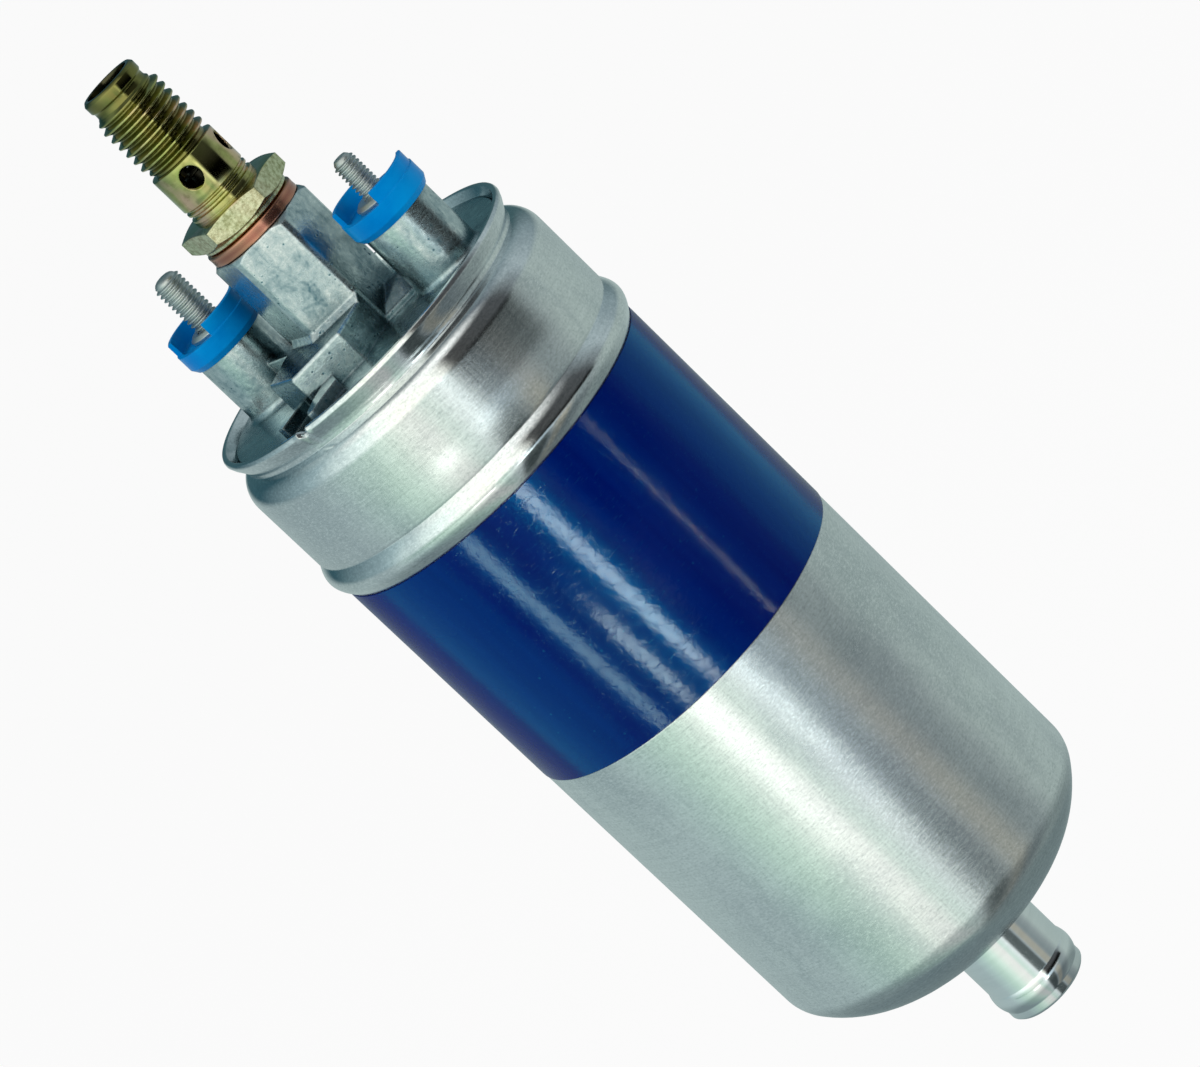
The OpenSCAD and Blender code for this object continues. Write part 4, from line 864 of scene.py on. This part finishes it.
def make_valve():
    metal_here = FINISH["yellow_chromate"]
    low, high = Z_THREAD + 0.05, Z_NOSE - 0.2
    start_angle = math.radians(HEX_TURN)
    under, over, nose = valve_outlines(low, high)
    outline = under + [(HEX_LOW, Z_HEX), (0.1, 0.0), (0.1, 0.0), (HEX_HIGH, Z_HEX1)] + over
    nose[-1] = outline[0]
    body = bmesh.new()
    revolve(body, outline, VALVE_SEGMENTS, start_angle, closed=False, shape=valve_shape(len(under)))
    revolve(body, nose, VALVE_SEGMENTS, start_angle, closed=False)
    thread_band(body, metal_here, VALVE_ROOT, THREAD_R, VALVE_PITCH, low, high, run_out=0.9, start=start_angle,
                around=VALVE_SEGMENTS, along=200)
    bm = bmesh.new()
    bm.from_mesh(bore_ports(finish_mesh(body, "valve_shell", metal_here, 30), metal_here))
    piece("valve_shell", "valve_body", "yellow_chromate", bm, 30)


# ---------------------------------------------------------------- stage

WHITE = (1.0, 1.0, 1.0, 1.0)
FLOOR_Z, FLOOR_R = -0.42, 6.0
# The mirrored wall's outline in millimetres, and half a card's soft edge in metres
WALL = ((0, -414), (880, -414), (900, -400), (900, 150), (840, 600), (600, 950), (0, 1100))
BLUR = 0.012

# What the wall shows at each azimuth: below the pump's middle, above it, and near the top
LOW = ((-180, (0.42, 0.52, 0.53)), (-160, (0.5, 0.65, 0.62)), (-142, (0.6, 0.8, 0.69)), (-128, (0.82, 1.0, 0.88)),
       (-118, (0.95, 1.0, 0.92)), (-104, (1.0, 0.98, 0.94)), (-97, (0.72, 0.9, 0.8)), (-84, (0.95, 1.0, 1.0)),
       (-76, (0.9, 1.0, 1.0)), (-70, (0.6, 0.72, 0.8)), (-58, (0.46, 0.55, 0.6)), (-46, (0.4, 0.41, 0.4)),
       (-30, (0.25, 0.3, 0.31)), (-14, (0.32, 0.37, 0.375)), (2, (0.45, 0.53, 0.51)), (66, (0.41, 0.5, 0.49)),
       (180, (0.42, 0.52, 0.53)))
HIGH = ((-180, (0.3, 0.4, 0.42)), (-140, (0.85, 0.95, 0.9)), (-110, (1.0, 1.0, 0.9)), (-79, (1.0, 1.0, 0.93)),
        (-70, (0.05, 0.05, 0.05)), (-20, (0.06, 0.065, 0.07)), (6, (0.32, 0.38, 0.4)), (45, (0.2, 0.26, 0.28)),
        (72, (0.045, 0.09, 0.1)), (125, (0.03, 0.08, 0.1)), (180, (0.3, 0.4, 0.42)))
TOP = ((-180, (0.4, 0.5, 0.5)), (-135, (1.0, 1.0, 0.94)), (-60, (1.0, 1.0, 0.97)), (-12, (0.12, 0.14, 0.16)),
       (40, (0.2, 0.26, 0.28)), (90, (0.08, 0.12, 0.14)), (180, (0.4, 0.5, 0.5)))

# Windows that the band alone mirrors: azimuth, width, bottom, top, power and colour
SLITS = {"slit_left": (-136.0, 0.1, -0.5, 0.3, 9.5, (0.75, 1.0, 0.86)),
         "slit_middle": (-114.0, 0.1, -0.5, -0.2, 6.5, (0.95, 1.0, 0.86)),
         "slit_centre": (-94.0, 0.1, -0.5, 0.3, 21.0, (0.95, 1.0, 0.88)),
         "slit_right": (-41.0, 0.012, -0.5, 0.3, 2.4, (1.0, 0.86, 0.74)),
         "sky_left": (178.0, 0.85, -0.5, 0.3, 6.0, (0.0, 0.7, 1.0)),
         "sky_right": (20.0, 0.75, -0.5, 0.3, 3.0, (0.0, 0.7, 1.0))}
SLIT_AWAY = 0.8

# Lamps that no surface mirrors: place, size, power and colour
LAMPS = {"window": ((-0.7, -0.8, 0.75), 0.7, 9.0, (1.0, 1.0, 0.98)),
         "fill": ((0.9, -0.7, 0.4), 0.9, 3.0, (0.95, 0.98, 1.0))}
LAMP_AIM = (0, 0, 0.03)


def seen_ray(tree):
    """1 for a ray that shows a surface to the camera, straight, mirrored or through another."""
    path = tree.nodes.new("ShaderNodeLightPath").outputs
    seen = maths(tree, "MAXIMUM", path["Is Camera Ray"], path["Is Glossy Ray"])
    return maths(tree, "MAXIMUM", seen, path["Is Transmission Ray"])


def stage_object(name, bm):
    mesh = bpy.data.meshes.new(name)
    bm.to_mesh(mesh)
    bm.free()
    thing = linked(name, mesh)
    return thing


def make_sky():
    world = bpy.data.worlds.new("studio")
    bpy.context.scene.world = world
    world.use_nodes = True
    tree = world.node_tree
    tree.nodes.clear()
    back = put(tree, "ShaderNodeBackground", {"Color": WHITE, "Strength": times(tree, seen_ray(tree), 0.45, 0.55)})
    tree.links.new(back.outputs[0], put(tree, "ShaderNodeOutputWorld").inputs[0])


def make_floor():
    """White paper well below the pump, bright enough to leave no horizon."""
    bm = bmesh.new()
    bmesh.ops.create_circle(bm, cap_ends=True, radius=FLOOR_R, segments=64)
    bmesh.ops.translate(bm, verts=bm.verts, vec=(0, 0, FLOOR_Z))
    floor = stage_object("floor", bm)
    tree, shader, coord = start("floor_paper", Roughness=0.9)
    dress(tree, shader, Base_Color=mix(tree, noise(tree, coord, 3.0), (0.93, 0.93, 0.93), (0.96, 0.96, 0.96)))
    white = put(tree, "ShaderNodeEmission", {"Color": WHITE, "Strength": 1.0})
    both = put(tree, "ShaderNodeMixShader", {0: times(tree, seen_ray(tree), 0.9), 1: shader.outputs[0],
                                             2: white.outputs[0]})
    tree.links.new(both.outputs[0], tree.nodes["Material Output"].inputs[0])
    floor.data.materials.append(FINISH["floor_paper"])


def card_tree():
    """The wall's material: an emission over grey cards and windows."""
    cards = bpy.data.materials.new("cards")
    cards.use_nodes = True
    tree = cards.node_tree
    tree.nodes.clear()
    axes = axes_of(tree, put(tree, "ShaderNodeTexCoord").outputs["Object"])
    turn = times(tree, maths(tree, "ARCTAN2", axes[1], axes[0]), 0.5 / math.pi, 0.5)
    lift = times(tree, maths(tree, "ARCTAN2", axes[2], from_axis(tree, axes)), 180.0 / math.pi)

    def around(stops):
        return ramp(tree, turn, *(((degrees + 180.0) / 360.0, colour) for degrees, colour in stops))

    def column(first, last, bottom, roof, soft=2.5):
        """Mask of an upright card between two azimuths and two heights."""
        degrees = times(tree, turn, 360.0, -180.0)
        side = maths(tree, "ABSOLUTE", maths(tree, "SUBTRACT", degrees, (first + last) / 2))
        half = (last - first) / 2
        side = between(tree, side, 1.0, 0.0, half - soft, half + soft)
        side = times(tree, side, between(tree, axes[2], 0.0, 1.0, bottom - BLUR, bottom + BLUR))
        return times(tree, side, between(tree, axes[2], 1.0, 0.0, roof - BLUR, roof + BLUR))
    low = around(LOW)
    shade = mix(tree, 1.0, low, (0.5, 0.58, 0.52), "MULTIPLY")
    for card, colour in (((-166, -87, -0.155, -0.118), shade), ((-75, -14, -0.15, 0.1), (0.0, 0.0, 0.0)),
                         ((-82, -57, -0.6, -0.305), (0.1, 0.12, 0.12)),
                         ((-54, -38, -0.6, -0.31), (0.43, 0.42, 0.36))):
        low = mix(tree, column(*card), low, colour)
    under = mix(tree, 1.0, low, (0.5, 0.52, 0.54), "MULTIPLY")
    tone = mix(tree, between(tree, lift, 0.0, 1.0, -3.0, 6.0), low, around(HIGH))
    tone = mix(tree, between(tree, lift, 0.0, 1.0, 38.0, 52.0), tone, around(TOP))
    tone = mix(tree, between(tree, lift, 0.0, 0.85, 60.0, 74.0), tone, (0.1, 0.13, 0.14))
    tone = mix(tree, between(tree, lift, 1.0, 0.0, -42.0, -24.0), tone, under)
    gain = 1.0
    for card, more in (((-119, -102, -0.31, -0.2), 1.3), ((-84, -74, -0.32, -0.225, 1.5), 2.3),
                       ((-83, -76, -0.145, 0.1, 1.5), 0.6), ((-78, -30, -0.22, -0.17), 0.5)):
        gain = times(tree, column(*card), more, gain)
    gain = times(tree, between(tree, lift, 0.0, 0.4, -3.0, 8.0), 1.0, gain)
    glow = put(tree, "ShaderNodeEmission", {"Color": tone, "Strength": gain})
    tree.links.new(glow.outputs[0], put(tree, "ShaderNodeOutputMaterial").inputs[0])
    return cards


def make_cards():
    """A studio wall that the metal mirrors, unseen by the camera."""
    bm = bmesh.new()
    revolve(bm, WALL, 128, closed=False)
    wall = stage_object("cards", bm)
    wall.data.materials.append(card_tree())
    wall.visible_camera = wall.visible_diffuse = wall.visible_shadow = False


def area_lamp(name, spot, turn, size, power, colour):
    data = bpy.data.lights.new(name, "AREA")
    data.size, data.energy, data.color = size, power, colour
    light = linked(name, data)
    light.location, light.rotation_euler = spot, turn
    return light


def make_lamps():
    """The band's windows first, then the lamps for everything."""
    only_band = bpy.data.collections.new("band_light")
    only_band.objects.link(bpy.data.objects["band_wrap"])
    for name, (turn, width, low, high, power, colour) in SLITS.items():
        angle = math.radians(turn)
        spot = (SLIT_AWAY * math.cos(angle), SLIT_AWAY * math.sin(angle), (low + high) / 2)
        light = area_lamp(name, spot, (math.radians(90), 0.0, angle + math.radians(90)), width, power, colour)
        light.data.shape, light.data.size_y = "RECTANGLE", high - low
        light.light_linking.receiver_collection = only_band
        light.visible_diffuse = False
    for name, (spot, size, power, colour) in LAMPS.items():
        turn = (Vector(LAMP_AIM) - Vector(spot)).to_track_quat("-Z", "Y").to_euler()
        area_lamp(name, spot, turn, size, power, colour).visible_glossy = False


# ---------------------------------------------------------------- put together

aim_camera()
for entry in frame["record"]["subparts"]:
    node = frame["nodes"][entry["node"]]
    node.data.materials.clear()
    # the valve's inner parts get the steel painted dark as shade
    finish = "painted_shade_steel" if entry["node"] in INNER_SHADE_NODES else entry["material_slot"]
    node.data.materials.append(FINISH[finish])
make_can()
make_band()
make_nipple()
make_copper_washer()
make_foot_discs()
make_springs()
make_studs()
make_valve()
make_sky()
make_floor()
make_cards()
make_lamps()
bpy.context.scene.view_settings.view_transform = "Standard"
